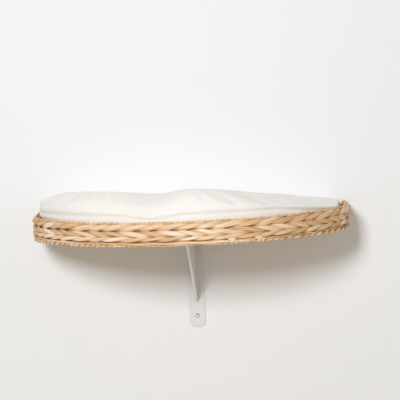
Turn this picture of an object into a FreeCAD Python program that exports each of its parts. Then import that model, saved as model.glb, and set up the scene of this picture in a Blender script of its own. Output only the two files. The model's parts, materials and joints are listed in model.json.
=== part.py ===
import FreeCAD, Part
import math
import os
import types
import Sketcher

# A wall perch: a half-round plywood shelf with a woven leaf rim, a loose cushion and one steel bracket.
# The straight back edge lies on the wall plane, Y = 0, with the room on the -Y side. X runs along the
# wall, Z is up, and Z = 0 is the underside of the board. Lengths are millimetres.

SIZES = {
    # The half-round plan, over the outside of the rim.
    "shelf_width": 560,
    "shelf_depth": 300,
    "front_share": 1.07,
    "corner_share": 0.6,
    # The board.
    "board_thick": 15,
    "rim_gap": 0.3,
    # The woven rim: two plaits between two bound edge wires, on upright wires.
    "rim_thick": 13,
    "rim_drop": 3,
    "wall_gap": 1,
    "binding_dia": 3.8,
    "lower_plait_height": 12,
    "upper_plait_height": 20,
    "plait_round": 5,
    "row_gap": 0.2,
    "wire_dia": 2.4,
    "wire_gap": 0.1,
    "upright_dia": 2,
    "upright_pitch": 32,
    # The nails that hold the lower plait to the edge of the board.
    "nail_dia": 1.6,
    "nail_head_dia": 4,
    "nail_head_thick": 1,
    "nail_sink": 3,
    "nail_bite": 10,
    "nail_pitch": 96,
    "nail_gap": 0.05,
    # The cushion: two cloth panels sewn together round a filling.
    "seat_gap": 0.3,
    "cushion_gap": 3,
    "cushion_wall_gap": 3,
    "belly_height": 31,
    "crown_height": 39,
    "wall_rise_share": 0.4,
    "cover_thick": 1.2,
    "filling_gap": 0.3,
    # The bracket: a bent steel strip with a welded web.
    "bracket_width": 30,
    "sheet_thick": 2.5,
    "wall_leg": 186,
    "shelf_leg": 225,
    "bend_radius": 3,
    "leg_round": 12,
    "web_thick": 4,
    "web_reach": 200,
    "web_drop": 136,
    "web_blunt": 5,
    "web_corner": 8,
    # The screws, which share one head and shank.
    "screw_dia": 4,
    "head_dia": 8,
    "head_height": 2.8,
    "head_crown_share": 0.55,
    "head_edge_share": 0.45,
    "recess_length": 4.6,
    "recess_width": 1.2,
    "recess_depth": 1.5,
    "screw_tip": 3,
    "wall_screw_length": 40,
    "board_screw_length": 14,
    "hole_gap": 0.2,
    "thread_gap": 0.05,
    "pilot_spare": 1,
    "screw_side": 8.5,
    "upper_screw_drop": 17,
    "lower_screw_rise": 21.5,
    "board_screw_back": 40,
    "board_screw_front": 25,
    # The wall plugs, which lie behind the wall plane.
    "plug_dia": 6,
    "plug_length": 34,
    "plug_tip": 5,
    "plug_tip_share": 0.8,
    # How far every cut runs past the solid that it opens.
    "cut_overrun": 1,
}

# The cushion's lower panel as shares of its plan at the seam, each with its share of the belly's height.
BELLY_SHARES = ((1.0, 0.0), (0.985, 0.5), (0.94, 1.0))
# The cushion's top has been lain on: it has a dent left of the middle and slumps to the right. From its
# left end to its right, places as shares of the half width, each with its share of the crown's height.
CREST_SHARES = (
    (-0.998, 0.26),
    (-0.98, 0.5),
    (-0.93, 0.71),
    (-0.84, 0.86),
    (-0.7, 0.95),
    (-0.55, 0.99),
    (-0.38, 0.9),
    (-0.2, 0.72),
    (0.0, 0.97),
    (0.14, 0.94),
    (0.3, 0.81),
    (0.5, 0.6),
    (0.7, 0.44),
    (0.84, 0.31),
    (0.93, 0.26),
    (0.98, 0.24),
    (0.998, 0.23),
)

# How a sketch numbers the points of an edge and its own two axes; the origin starts the first axis.
START, END, CENTRE = range(1, 4)
ACROSS_AXIS, UP_AXIS = range(-1, -3, -1)
ORIGIN = (ACROSS_AXIS, START)

doc = FreeCAD.newDocument("wall_perch")
sheet = doc.addObject("Spreadsheet::Sheet", "sizes")
for row, (alias, number) in enumerate(SIZES.items(), start=1):
    sheet.set(f"A{row}", alias)
    sheet.set(f"B{row}", str(number))
    sheet.setAlias(f"B{row}", alias)
doc.recompute()


class Size:
    """A number together with the sheet expression that gives it, so each formula is written once."""

    def __init__(self, value, text):
        self.value = value
        self.text = text

    def __add__(self, other):
        return Size(self.value + as_size(other).value, f"({self.text} + {as_size(other).text})")

    def __sub__(self, other):
        return Size(self.value - as_size(other).value, f"({self.text} - {as_size(other).text})")

    def __mul__(self, other):
        return Size(self.value * as_size(other).value, f"({self.text} * {as_size(other).text})")

    def __truediv__(self, other):
        return Size(self.value / as_size(other).value, f"({self.text} / {as_size(other).text})")

    def __neg__(self):
        return Size(-self.value, f"(0 - {self.text})")

    def root(self):
        return Size(math.sqrt(self.value), f"sqrt({self.text})")


def as_size(number):
    return number if isinstance(number, Size) else Size(float(number), repr(float(number)))


ZERO = as_size(0)
dim = types.SimpleNamespace(**{alias: Size(float(sheet.get(alias)), f"sizes.{alias}") for alias in SIZES})


class Outline:
    """The half-round plan: a straight back, two straight ends, two corner arcs and a front arc."""

    def __init__(self, half_width, back, corner_reach, corner_radius, front_radius):
        self.half_width = half_width
        self.back = back
        self.corner_reach = corner_reach
        self.corner_radius = corner_radius
        self.front_radius = front_radius

    def inset(self, step):
        """The parallel outline one step further in, with the same back and arc centres."""
        return Outline(
            self.half_width - step,
            self.back,
            self.corner_reach,
            self.corner_radius - step,
            self.front_radius - step,
        )

    def sag(self):
        """How far the corner arcs' centres lie in front of the front arc's centre."""
        across = self.half_width - self.corner_radius
        between = self.front_radius - self.corner_radius
        return (between * between - across * across).root()

    def turn(self):
        """The angle that each corner arc turns through before it runs into the front arc."""
        return math.atan2(self.sag().value, self.half_width.value - self.corner_radius.value)

    def reach_at(self, across):
        """How far the front lies from the wall at a place across the outline."""
        centre = self.half_width - self.corner_radius
        side = across if across.value > 0 else -across
        if side.value > centre.value + self.corner_radius.value * math.cos(self.turn()):
            beyond = side - centre
            return self.corner_reach + (self.corner_radius * self.corner_radius - beyond * beyond).root()
        rise = (self.front_radius * self.front_radius - side * side).root()
        return self.corner_reach - self.sag() + rise


def half_round(half_width, back, depth):
    """The outline of the given half width whose front lies one depth in front of its back."""
    shape = Outline(
        half_width,
        back,
        ZERO,
        half_width * dim.corner_share,
        half_width * dim.front_share,
    )
    shape.corner_reach = back + depth - shape.front_radius + shape.sag()
    return shape


def new_body(name):
    return doc.addObject("PartDesign::Body", name)


def new_sketch(body, name, role, offset=ZERO):
    """A sketch on one of the body's own planes, moved along the plane's normal by the offset."""
    sketch = body.newObject("Sketcher::SketchObject", name)
    plane = next(feature for feature in body.Origin.OriginFeatures if feature.Role == role)
    sketch.AttachmentSupport = [(plane, "")]
    sketch.MapMode = "FlatFace"
    sketch.AttachmentOffset = FreeCAD.Placement(FreeCAD.Vector(0, 0, offset.value), FreeCAD.Rotation())
    if offset is not ZERO:
        sketch.setExpression("AttachmentOffset.Base.z", offset.text)
    return sketch


def bind(sketch, name, kind, places, length):
    """A dimension of the sketch whose value follows the sheet."""
    index = sketch.addConstraint(Sketcher.Constraint(kind, *places, length.value))
    sketch.renameConstraint(index, name)
    sketch.setExpression(f"Constraints.{name}", length.text)


def fix_point(sketch, name, geometry, point, across, up):
    """Holds one point of the sketch at two sizes from the sketch's origin."""
    for kind, axis, size in (("DistanceX", UP_AXIS, across), ("DistanceY", ACROSS_AXIS, up)):
        if size is ZERO:
            sketch.addConstraint(Sketcher.Constraint("PointOnObject", geometry, point, axis))
        else:
            bind(sketch, f"{name}_{kind}", kind, (*ORIGIN, geometry, point), size)


def draw_polygon(sketch, corners):
    """A closed polygon through corners given as pairs of sizes."""
    points = [FreeCAD.Vector(across.value, up.value, 0) for across, up in corners]
    count = len(points)
    edges = [
        sketch.addGeometry(Part.LineSegment(points[index], points[(index + 1) % count]), False)
        for index in range(count)
    ]
    for index, edge in enumerate(edges):
        following = edges[(index + 1) % count]
        sketch.addConstraint(Sketcher.Constraint("Coincident", edge, END, following, START))
    for index, (across, up) in enumerate(corners):
        fix_point(sketch, f"corner{index}", edges[index], START, across, up)


def draw_circle(sketch, name, across, up, radius):
    centre = FreeCAD.Vector(across.value, up.value, 0)
    circle = sketch.addGeometry(Part.Circle(centre, FreeCAD.Vector(0, 0, 1), radius.value), False)
    fix_point(sketch, name, circle, CENTRE, across, up)
    bind(sketch, f"{name}_radius", "Radius", (circle,), radius)


def draw_outline(sketch, shape, closed):
    """The half-round plan as a path open at the wall, or closed by its straight back."""
    wide, back, reach = shape.half_width.value, shape.back.value, shape.corner_reach.value
    corner, front = shape.corner_radius.value, shape.front_radius.value
    turn = shape.turn()

    def line(first, last):
        return sketch.addGeometry(Part.LineSegment(FreeCAD.Vector(*first), FreeCAD.Vector(*last)), False)

    def arc(centre, radius, first, last):
        circle = Part.Circle(FreeCAD.Vector(*centre), FreeCAD.Vector(0, 0, 1), radius)
        return sketch.addGeometry(Part.ArcOfCircle(circle, first, last), False)

    right_end = line((wide, -back), (wide, -reach))
    right_corner = arc((wide - corner, -reach), corner, -turn, 0)
    front_arc = arc((0, shape.sag().value - reach), front, math.pi + turn, 2 * math.pi - turn)
    left_corner = arc((corner - wide, -reach), corner, math.pi, math.pi + turn)
    left_end = line((-wide, -reach), (-wide, -back))
    joints = (
        (right_end, END, right_corner, END),
        (right_corner, START, front_arc, END),
        (front_arc, START, left_corner, END),
        (left_corner, START, left_end, START),
    )
    for joint in joints:
        sketch.addConstraint(Sketcher.Constraint("Tangent", *joint))
    sketch.addConstraint(Sketcher.Constraint("Vertical", right_end))
    sketch.addConstraint(Sketcher.Constraint("Vertical", left_end))
    sketch.addConstraint(Sketcher.Constraint("Equal", right_end, left_end))
    sketch.addConstraint(Sketcher.Constraint("Equal", right_corner, left_corner))
    sketch.addConstraint(Sketcher.Constraint("Symmetric", right_end, START, left_end, END, UP_AXIS))
    back_size = ZERO if shape.back is ZERO else -shape.back
    fix_point(sketch, "end", right_end, START, shape.half_width, back_size)
    bind(sketch, "corner_reach", "DistanceY", (right_end, END, *ORIGIN), shape.corner_reach)
    bind(sketch, "corner_radius", "Radius", (right_corner,), shape.corner_radius)
    bind(sketch, "front_radius", "Radius", (front_arc,), shape.front_radius)
    if closed:
        back_line = line((-wide, -back), (wide, -back))
        sketch.addConstraint(Sketcher.Constraint("Coincident", left_end, END, back_line, START))
        sketch.addConstraint(Sketcher.Constraint("Coincident", back_line, END, right_end, START))


def draw_rounded_bar(sketch, left, right, low, high, radius):
    """A rectangle with four round corners, between two sizes across and two sizes up."""
    bounds = (left.value, right.value, low.value, high.value)
    near, far, foot, head = bounds
    bend = radius.value
    sides, corners = [], []
    ends = (
        ((near + bend, foot), (far - bend, foot)),
        ((far, foot + bend), (far, head - bend)),
        ((far - bend, head), (near + bend, head)),
        ((near, head - bend), (near, foot + bend)),
    )
    centres = (
        (far - bend, foot + bend),
        (far - bend, head - bend),
        (near + bend, head - bend),
        (near + bend, foot + bend),
    )
    for first, last in ends:
        segment = Part.LineSegment(FreeCAD.Vector(*first), FreeCAD.Vector(*last))
        sides.append(sketch.addGeometry(segment, False))
    for quarter, centre in enumerate(centres):
        circle = Part.Circle(FreeCAD.Vector(*centre), FreeCAD.Vector(0, 0, 1), bend)
        first = (quarter - 1) * math.pi / 2
        corners.append(sketch.addGeometry(Part.ArcOfCircle(circle, first, first + math.pi / 2), False))
    for index, corner in enumerate(corners):
        following = sides[(index + 1) % len(sides)]
        sketch.addConstraint(Sketcher.Constraint("Tangent", sides[index], END, corner, START))
        sketch.addConstraint(Sketcher.Constraint("Tangent", corner, END, following, START))
    for side, kind in zip(sides, ("Horizontal", "Vertical", "Horizontal", "Vertical")):
        sketch.addConstraint(Sketcher.Constraint(kind, side))
    for corner in corners[1:]:
        sketch.addConstraint(Sketcher.Constraint("Equal", corners[0], corner))
    bind(sketch, "corner_radius", "Radius", (corners[0],), radius)
    bind(sketch, "foot", "DistanceY", (*ORIGIN, sides[0], START), low)
    bind(sketch, "far_side", "DistanceX", (*ORIGIN, sides[1], START), right)
    bind(sketch, "head", "DistanceY", (*ORIGIN, sides[2], START), high)
    bind(sketch, "near_side", "DistanceX", (*ORIGIN, sides[3], START), left)


def draw_crown(sketch, foot, back, reach, back_rise, front_rise):
    """A level foot, a round back and a round front of their own rises, and a straight top between them."""
    behind, ahead = -back - back_rise, front_rise - reach
    low, high, higher = foot.value, (foot + back_rise).value, (foot + front_rise).value

    def line(first, last):
        return sketch.addGeometry(Part.LineSegment(FreeCAD.Vector(*first), FreeCAD.Vector(*last)), False)

    def quarter(centre, radius, first):
        circle = Part.Circle(FreeCAD.Vector(centre.value, low), FreeCAD.Vector(0, 0, 1), radius.value)
        return sketch.addGeometry(Part.ArcOfCircle(circle, first, first + math.pi / 2), False)

    back_arc = quarter(behind, back_rise, 0)
    top = line((behind.value, high), (ahead.value, higher))
    front_arc = quarter(ahead, front_rise, math.pi / 2)
    seam = line((-reach.value, low), (-back.value, low))
    edges = (back_arc, top, front_arc, seam)
    for index, edge in enumerate(edges):
        following = edges[(index + 1) % len(edges)]
        sketch.addConstraint(Sketcher.Constraint("Coincident", edge, END, following, START))
    for arc, level_end, upright_end in ((back_arc, START, END), (front_arc, END, START)):
        sketch.addConstraint(Sketcher.Constraint("Horizontal", arc, CENTRE, arc, level_end))
        sketch.addConstraint(Sketcher.Constraint("Vertical", arc, CENTRE, arc, upright_end))
    fix_point(sketch, "back", back_arc, CENTRE, behind, foot)
    fix_point(sketch, "front", front_arc, CENTRE, ahead, foot)
    bind(sketch, "back_rise", "Radius", (back_arc,), back_rise)
    bind(sketch, "front_rise", "Radius", (front_arc,), front_rise)


def add_pad(body, name, sketch, length, symmetric=False):
    pad = body.newObject("PartDesign::Pad", name)
    pad.Profile = sketch
    pad.SideType = "Symmetric" if symmetric else "One side"
    pad.Length = length.value
    pad.setExpression("Length", length.text)
    return pad


def add_pocket(body, name, sketch, length, away=False):
    """Cuts the sketch's shape; away means along the sketch's normal, not against it."""
    pocket = body.newObject("PartDesign::Pocket", name)
    pocket.Profile = sketch
    pocket.Reversed = away
    pocket.Length = length.value
    pocket.setExpression("Length", length.text)
    return pocket


def add_turning(body, name, corners):
    """A solid of revolution about Z from half of its section."""
    sketch = new_sketch(body, f"{name}_section", "XZ_Plane")
    draw_polygon(sketch, corners)
    turning = body.newObject("PartDesign::Revolution", name)
    turning.Profile = sketch
    turning.ReferenceAxis = (sketch, ["V_Axis"])
    turning.Angle = 360
    return turning


def add_loft(body, name, sections, kind="AdditiveLoft"):
    loft = body.newObject(f"PartDesign::{kind}", name)
    loft.Profile = sections[0]
    loft.Sections = sections[1:]
    return loft


def add_fillet(body, name, base, middles, radius):
    """Rounds the edges whose middles lie at the given points."""
    doc.recompute()
    points = [FreeCAD.Vector(*(size.value for size in middle)) for middle in middles]
    edges = [
        f"Edge{index}"
        for index, edge in enumerate(base.Shape.Edges, start=1)
        if any(edge.CenterOfMass.isEqual(point, dim.thread_gap.value) for point in points)
    ]
    fillet = body.newObject("PartDesign::Fillet", name)
    fillet.Base = (base, edges)
    fillet.Radius = radius.value
    fillet.setExpression("Radius", radius.text)
    return fillet


def add_shape(name, shape):
    """An object for a shape that is worked out from the sheet's sizes in code."""
    holder = doc.addObject("Part::Feature", name)
    holder.Shape = shape
    holder.Placement = FreeCAD.Placement()
    return holder


def add_cut(name, base, tool):
    cut = doc.addObject("Part::Cut", name)
    cut.Base = base
    cut.Tool = tool
    return cut


def rod(radius, start, direction, length):
    return Part.makeCylinder(radius.value, length.value, start, direction)


nodes = {}

# The plan, the rim's middle line and the heights of the rim's rows, from the bottom up.
plan = half_round(dim.shelf_width / 2, ZERO, dim.shelf_depth)
board_plan = plan.inset(dim.rim_thick + dim.rim_gap)
rim_line = plan.inset(dim.rim_thick / 2)
rim_line.back = dim.wall_gap
bottom_wire_height = dim.binding_dia / 2 - dim.rim_drop
lower_plait_foot = dim.binding_dia - dim.rim_drop + dim.row_gap
upper_plait_foot = lower_plait_foot + dim.lower_plait_height + dim.row_gap
top_wire_height = upper_plait_foot + dim.upper_plait_height + dim.row_gap + dim.binding_dia / 2


def rim_length():
    ends = rim_line.corner_reach.value - rim_line.back.value
    corners = rim_line.corner_radius.value * rim_line.turn()
    front = rim_line.front_radius.value * (math.pi - 2 * rim_line.turn())
    return 2 * ends + 2 * corners + front


def rim_station(distance):
    """A point on the rim's middle line, this far along it from the right end, and its outward direction."""
    wide, reach = rim_line.half_width.value, rim_line.corner_reach.value
    corner, front = rim_line.corner_radius.value, rim_line.front_radius.value
    turn = rim_line.turn()
    if distance > rim_length() / 2:
        point, outward = rim_station(rim_length() - distance)
        return FreeCAD.Vector(-point.x, point.y, 0), FreeCAD.Vector(-outward.x, outward.y, 0)
    end = reach - rim_line.back.value
    if distance <= end:
        return FreeCAD.Vector(wide, -rim_line.back.value - distance, 0), FreeCAD.Vector(1, 0, 0)
    angle = (distance - end) / corner
    centre = FreeCAD.Vector(wide - corner, -reach, 0)
    radius = corner
    if angle > turn:
        angle = turn + (distance - end - corner * turn) / front
        centre = FreeCAD.Vector(0, rim_line.sag().value - reach, 0)
        radius = front
    outward = FreeCAD.Vector(math.cos(angle), -math.sin(angle), 0)
    return centre + outward * radius, outward


bay_count = max(2, round(rim_length() / dim.upright_pitch.value))
bay = rim_length() / bay_count
upright_places = [rim_station((index + 0.5) * bay)[0] for index in range(bay_count)]
# The nails sit midway between uprights, one in every few bays.
nail_stride = max(1, round(dim.nail_pitch.value / bay))
nail_places = [rim_station(index * bay) for index in range(nail_stride - 1, bay_count, nail_stride)]


def screw_places():
    """The wall screws on the wall plane, and the board screws on the board's underside."""
    side = dim.screw_side.value
    upper = -dim.upper_screw_drop.value
    lower = dim.lower_screw_rise.value - dim.wall_leg.value
    rows = (-dim.board_screw_back.value, dim.board_screw_front.value - dim.shelf_leg.value)
    wall = [FreeCAD.Vector(-side, 0, upper), FreeCAD.Vector(side, 0, upper), FreeCAD.Vector(0, 0, lower)]
    board = [FreeCAD.Vector(across, out, 0) for out in rows for across in (-side, side)]
    return wall, board


wall_screw_places, board_screw_places = screw_places()
board_screw_rows = (-dim.board_screw_back, dim.board_screw_front - dim.shelf_leg)


def draw_board_screw_holes(sketch, radius):
    for row_index, row in enumerate(board_screw_rows):
        draw_circle(sketch, f"left{row_index}", -dim.screw_side, row, radius)
        draw_circle(sketch, f"right{row_index}", dim.screw_side, row, radius)


# The shelf board, with pilot holes for its screws from below and nail holes in its curved edge.
def make_nail_holes():
    """The space that the nails take in the lower plait and the board."""
    height = FreeCAD.Vector(0, 0, dim.board_thick.value / 2)
    shapes = []
    for point, outward in nail_places:
        face = point + height + outward * (dim.rim_thick.value / 2 + dim.cut_overrun.value)
        head = dim.cut_overrun + dim.nail_sink + dim.nail_head_thick
        shank = dim.cut_overrun + dim.rim_thick + dim.rim_gap + dim.nail_bite + dim.nail_gap
        head_hole = rod(dim.nail_head_dia / 2 + dim.nail_gap, face, -outward, head)
        shank_hole = rod(dim.nail_dia / 2 + dim.nail_gap, face, -outward, shank)
        shapes.append(head_hole.fuse(shank_hole))
    return add_shape("nail_holes", Part.makeCompound(shapes))


nail_holes = make_nail_holes()
board_body = new_body("board_blank")
board_sketch = new_sketch(board_body, "board_plan", "XY_Plane")
draw_outline(board_sketch, board_plan, closed=True)
add_pad(board_body, "board_sheet", board_sketch, dim.board_thick)
pilot_sketch = new_sketch(board_body, "pilot_places", "XY_Plane")
draw_board_screw_holes(pilot_sketch, dim.screw_dia / 2 + dim.thread_gap)
pilot_depth = dim.board_screw_length - dim.sheet_thick + dim.pilot_spare
add_pocket(board_body, "pilot_holes", pilot_sketch, pilot_depth, away=True)
nodes["shelf_board"] = add_cut("shelf_board", board_body, nail_holes)


# The rim's two edge wires, the uprights between them, and the leaf bindings wound round the wires.
def make_pipe(name, height, draw_section):
    """A section carried along the rim's middle line at one height."""
    body = new_body(name)
    path = new_sketch(body, f"{name}_path", "XY_Plane", height)
    draw_outline(path, rim_line, closed=False)
    section = new_sketch(body, f"{name}_section", "XZ_Plane", rim_line.back)
    draw_section(section)
    pipe = body.newObject("PartDesign::AdditivePipe", f"{name}_pipe")
    pipe.Profile = section
    pipe.Spine = (path, [f"Edge{index}" for index in range(1, path.GeometryCount + 1)])
    return body


def make_wire(name, height):
    def draw_section(sketch):
        draw_circle(sketch, "wire", rim_line.half_width, height, dim.wire_dia / 2)

    return make_pipe(name, height, draw_section)


def make_binding(name, height):
    def draw_section(sketch):
        draw_circle(sketch, "outside", rim_line.half_width, height, dim.binding_dia / 2)
        draw_circle(sketch, "bore", rim_line.half_width, height, dim.wire_dia / 2 + dim.wire_gap)

    return make_pipe(name, height, draw_section)


def make_plait(name, foot, height):
    def draw_section(sketch):
        inner = rim_line.half_width - dim.rim_thick / 2
        outer = rim_line.half_width + dim.rim_thick / 2
        draw_rounded_bar(sketch, inner, outer, foot, foot + height, dim.plait_round)

    return make_pipe(name, foot + height / 2, draw_section)


def upright_rods(radius, foot, head):
    up = FreeCAD.Vector(0, 0, 1)
    starts = [place + up * foot.value for place in upright_places]
    return Part.makeCompound([rod(radius, start, up, head - foot) for start in starts])


upright_foot = bottom_wire_height + dim.wire_dia / 2
upright_head = top_wire_height - dim.wire_dia / 2
upright_holes = add_shape(
    "upright_holes",
    upright_rods(dim.upright_dia / 2 + dim.wire_gap, bottom_wire_height, top_wire_height),
)
nodes["rim_top_wire"] = make_wire("rim_top_wire", top_wire_height)
nodes["rim_bottom_wire"] = make_wire("rim_bottom_wire", bottom_wire_height)
nodes["rim_uprights"] = add_shape(
    "rim_uprights", upright_rods(dim.upright_dia / 2, upright_foot, upright_head)
)
top_winding = make_binding("top_winding", top_wire_height)
bottom_winding = make_binding("bottom_winding", bottom_wire_height)
nodes["rim_top_binding"] = add_cut("rim_top_binding", top_winding, upright_holes)
nodes["rim_bottom_binding"] = add_cut("rim_bottom_binding", bottom_winding, upright_holes)

# The two plaits, threaded on the uprights; the lower one is nailed to the board.
upper_band = make_plait("upper_band", upper_plait_foot, dim.upper_plait_height)
lower_band = make_plait("lower_band", lower_plait_foot, dim.lower_plait_height)
nodes["rim_upper_plait"] = add_cut("rim_upper_plait", upper_band, upright_holes)
lower_threaded = add_cut("lower_threaded", lower_band, upright_holes)
nodes["rim_lower_plait"] = add_cut("rim_lower_plait", lower_threaded, nail_holes)


def make_nails():
    height = FreeCAD.Vector(0, 0, dim.board_thick.value / 2)
    shapes = []
    for point, outward in nail_places:
        face = point + height + outward * (dim.rim_thick.value / 2 - dim.nail_sink.value)
        shank = dim.rim_thick - dim.nail_sink + dim.rim_gap + dim.nail_bite
        head = rod(dim.nail_head_dia / 2, face, -outward, dim.nail_head_thick)
        shapes.append(head.fuse(rod(dim.nail_dia / 2, face, -outward, shank)))
    return add_shape("rim_nails", Part.makeCompound(shapes))


nodes["rim_nails"] = make_nails()

# The cushion: its seam lies between a lower panel that is drawn in and an upper panel that swells.
cushion_foot = dim.board_thick + dim.seat_gap
seam_height = cushion_foot + dim.belly_height
cushion_half_width = dim.shelf_width / 2 - dim.rim_thick - dim.cushion_gap
cushion_depth = dim.shelf_depth - dim.rim_thick - dim.cushion_gap - dim.cushion_wall_gap
seam_plan = half_round(cushion_half_width, dim.cushion_wall_gap, cushion_depth)


def belly_sections(body, name, skin):
    """Plans of the belly from the seam down, each one skin inside the cushion's outside."""
    sections = []
    for index, (plan_share, height_share) in enumerate(BELLY_SHARES):
        half_width = cushion_half_width * plan_share - skin
        depth = cushion_depth * plan_share - skin * 2
        back = dim.cushion_wall_gap + (cushion_depth - depth) / 2
        height = seam_height - (dim.belly_height - skin) * height_share
        sketch = new_sketch(body, f"{name}{index}", "XY_Plane", height)
        draw_outline(sketch, half_round(half_width, back, depth), closed=True)
        sections.append(sketch)
    return sections


def crown_sections(body, name, skin):
    """Upright sections of the crown from left to right, each one skin inside the cushion's outside."""
    shape = seam_plan.inset(skin)
    sections = []
    for index, (across_share, rise_share) in enumerate(CREST_SHARES):
        across = shape.half_width * across_share
        rise = dim.crown_height * rise_share
        sketch = new_sketch(body, f"{name}{index}", "YZ_Plane", across)
        draw_crown(
            sketch,
            seam_height,
            shape.back + skin,
            shape.reach_at(across),
            rise * dim.wall_rise_share - skin,
            rise - skin,
        )
        sections.append(sketch)
    return sections


def make_panel(name, draw_sections):
    """A cloth panel: a loft from the seam, hollowed by the same loft one cloth thickness in."""
    body = new_body(name)
    add_loft(body, f"{name}_outside", draw_sections(body, f"{name}_outer", ZERO))
    add_loft(body, f"{name}_hollow", draw_sections(body, f"{name}_inner", dim.cover_thick), "SubtractiveLoft")
    return body


def make_filling():
    """The filling: its crown stands two gaps further in than its belly, clear of the upper panel's seam."""
    body = new_body("cushion_filling")
    skin = dim.cover_thick + dim.filling_gap
    add_loft(body, "filling_belly", belly_sections(body, "filling_lower", skin))
    add_loft(body, "filling_crown", crown_sections(body, "filling_upper", skin + dim.filling_gap * 2))
    return body


nodes["cushion_cover_top"] = make_panel("cushion_cover_top", crown_sections)
nodes["cushion_cover_bottom"] = make_panel("cushion_cover_bottom", belly_sections)
nodes["cushion_filling"] = make_filling()


# The bracket: a strip bent to an angle, with a triangular web welded into it.
def make_bracket_angle():
    body = new_body("bracket_angle")
    profile = new_sketch(body, "angle_profile", "YZ_Plane")
    sheet_thick = dim.sheet_thick
    corners = (
        (ZERO, ZERO),
        (-dim.shelf_leg, ZERO),
        (-dim.shelf_leg, -sheet_thick),
        (-sheet_thick, -sheet_thick),
        (-sheet_thick, -dim.wall_leg),
        (ZERO, -dim.wall_leg),
    )
    draw_polygon(profile, corners)
    strip = add_pad(body, "angle_strip", profile, dim.bracket_width, symmetric=True)
    half = dim.bracket_width / 2
    middle = sheet_thick / 2
    outside = add_fillet(body, "outer_bend", strip, [(ZERO, ZERO, ZERO)], dim.bend_radius + sheet_thick)
    inside_edge = [(ZERO, -sheet_thick, -sheet_thick)]
    inside = add_fillet(body, "inner_bend", outside, inside_edge, dim.bend_radius)
    tips = [
        (side, *place)
        for side in (-half, half)
        for place in ((-middle, -dim.wall_leg), (-dim.shelf_leg, -middle))
    ]
    add_fillet(body, "round_tips", inside, tips, dim.leg_round)
    hole_radius = dim.screw_dia / 2 + dim.hole_gap
    wall_holes = new_sketch(body, "wall_hole_places", "XZ_Plane")
    draw_circle(wall_holes, "left", -dim.screw_side, -dim.upper_screw_drop, hole_radius)
    draw_circle(wall_holes, "right", dim.screw_side, -dim.upper_screw_drop, hole_radius)
    draw_circle(wall_holes, "lower", ZERO, dim.lower_screw_rise - dim.wall_leg, hole_radius)
    add_pocket(body, "wall_holes", wall_holes, sheet_thick + dim.cut_overrun, away=True)
    shelf_holes = new_sketch(body, "shelf_hole_places", "XY_Plane")
    draw_board_screw_holes(shelf_holes, hole_radius)
    add_pocket(body, "shelf_holes", shelf_holes, sheet_thick + dim.cut_overrun)
    return body


def make_bracket_web():
    body = new_body("bracket_web")
    profile = new_sketch(body, "web_profile", "YZ_Plane")
    sheet_thick = dim.sheet_thick
    corners = (
        (-sheet_thick - dim.web_corner, -sheet_thick),
        (-dim.web_reach, -sheet_thick),
        (-dim.web_reach, -sheet_thick - dim.web_blunt),
        (-sheet_thick - dim.web_blunt, -dim.web_drop),
        (-sheet_thick, -dim.web_drop),
        (-sheet_thick, -sheet_thick - dim.web_corner),
    )
    draw_polygon(profile, corners)
    add_pad(body, "web_plate", profile, dim.web_thick, symmetric=True)
    return body


nodes["bracket_angle"] = make_bracket_angle()
nodes["bracket_web"] = make_bracket_web()


# The screws, with cross recesses, and the plugs that the wall screws hold in.
def make_screw(name, length):
    """One screw, point down, with the underside of its head at the origin."""
    body = new_body(name)
    head = dim.head_dia / 2
    shank = dim.screw_dia / 2
    corners = (
        (ZERO, dim.head_height),
        (head * dim.head_crown_share, dim.head_height),
        (head, dim.head_height * dim.head_edge_share),
        (head, ZERO),
        (shank, ZERO),
        (shank, dim.screw_tip - length),
        (ZERO, -length),
    )
    add_turning(body, f"{name}_turning", corners)
    recess = new_sketch(body, f"{name}_recess_plan", "XY_Plane", dim.head_height)
    arm = dim.recess_length / 2
    slot = dim.recess_width / 2
    cross = (
        (arm, -slot), (arm, slot), (slot, slot), (slot, arm), (-slot, arm), (-slot, slot),
        (-arm, slot), (-arm, -slot), (-slot, -slot), (-slot, -arm), (slot, -arm), (slot, -slot),
    )
    draw_polygon(recess, cross)
    add_pocket(body, f"{name}_recess", recess, dim.recess_depth)
    return body


def make_plug():
    """One wall plug, tip down, with its mouth at the origin."""
    body = new_body("plug_pattern")
    bore = dim.screw_dia / 2 + dim.thread_gap
    outside = dim.plug_dia / 2
    tip = bore + (outside - bore) * dim.plug_tip_share
    corners = (
        (bore, ZERO),
        (outside, ZERO),
        (outside, dim.plug_tip - dim.plug_length),
        (tip, -dim.plug_length),
        (bore, -dim.plug_length),
    )
    add_turning(body, "plug_turning", corners)
    return body


def make_group(name, pattern, places, turn, lift):
    """Copies of one fastener, each turned the same way and set on its place."""
    doc.recompute()
    copies = []
    for place in places:
        copy = pattern.Shape.copy()
        copy.Placement = FreeCAD.Placement(place + lift, turn)
        copies.append(copy)
    return add_shape(name, Part.makeCompound(copies))


into_wall = FreeCAD.Rotation(FreeCAD.Vector(1, 0, 0), 90)
into_board = FreeCAD.Rotation(FreeCAD.Vector(1, 0, 0), 180)
on_wall_leg = FreeCAD.Vector(0, -dim.sheet_thick.value, 0)
under_shelf_leg = FreeCAD.Vector(0, 0, -dim.sheet_thick.value)
wall_screw = make_screw("wall_screw_pattern", dim.wall_screw_length)
board_screw = make_screw("board_screw_pattern", dim.board_screw_length)
plug = make_plug()
nodes["wall_screws"] = make_group("wall_screws", wall_screw, wall_screw_places, into_wall, on_wall_leg)
nodes["board_screws"] = make_group(
    "board_screws", board_screw, board_screw_places, into_board, under_shelf_leg
)
nodes["wall_plugs"] = make_group("wall_plugs", plug, wall_screw_places, into_wall, FreeCAD.Vector())

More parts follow.
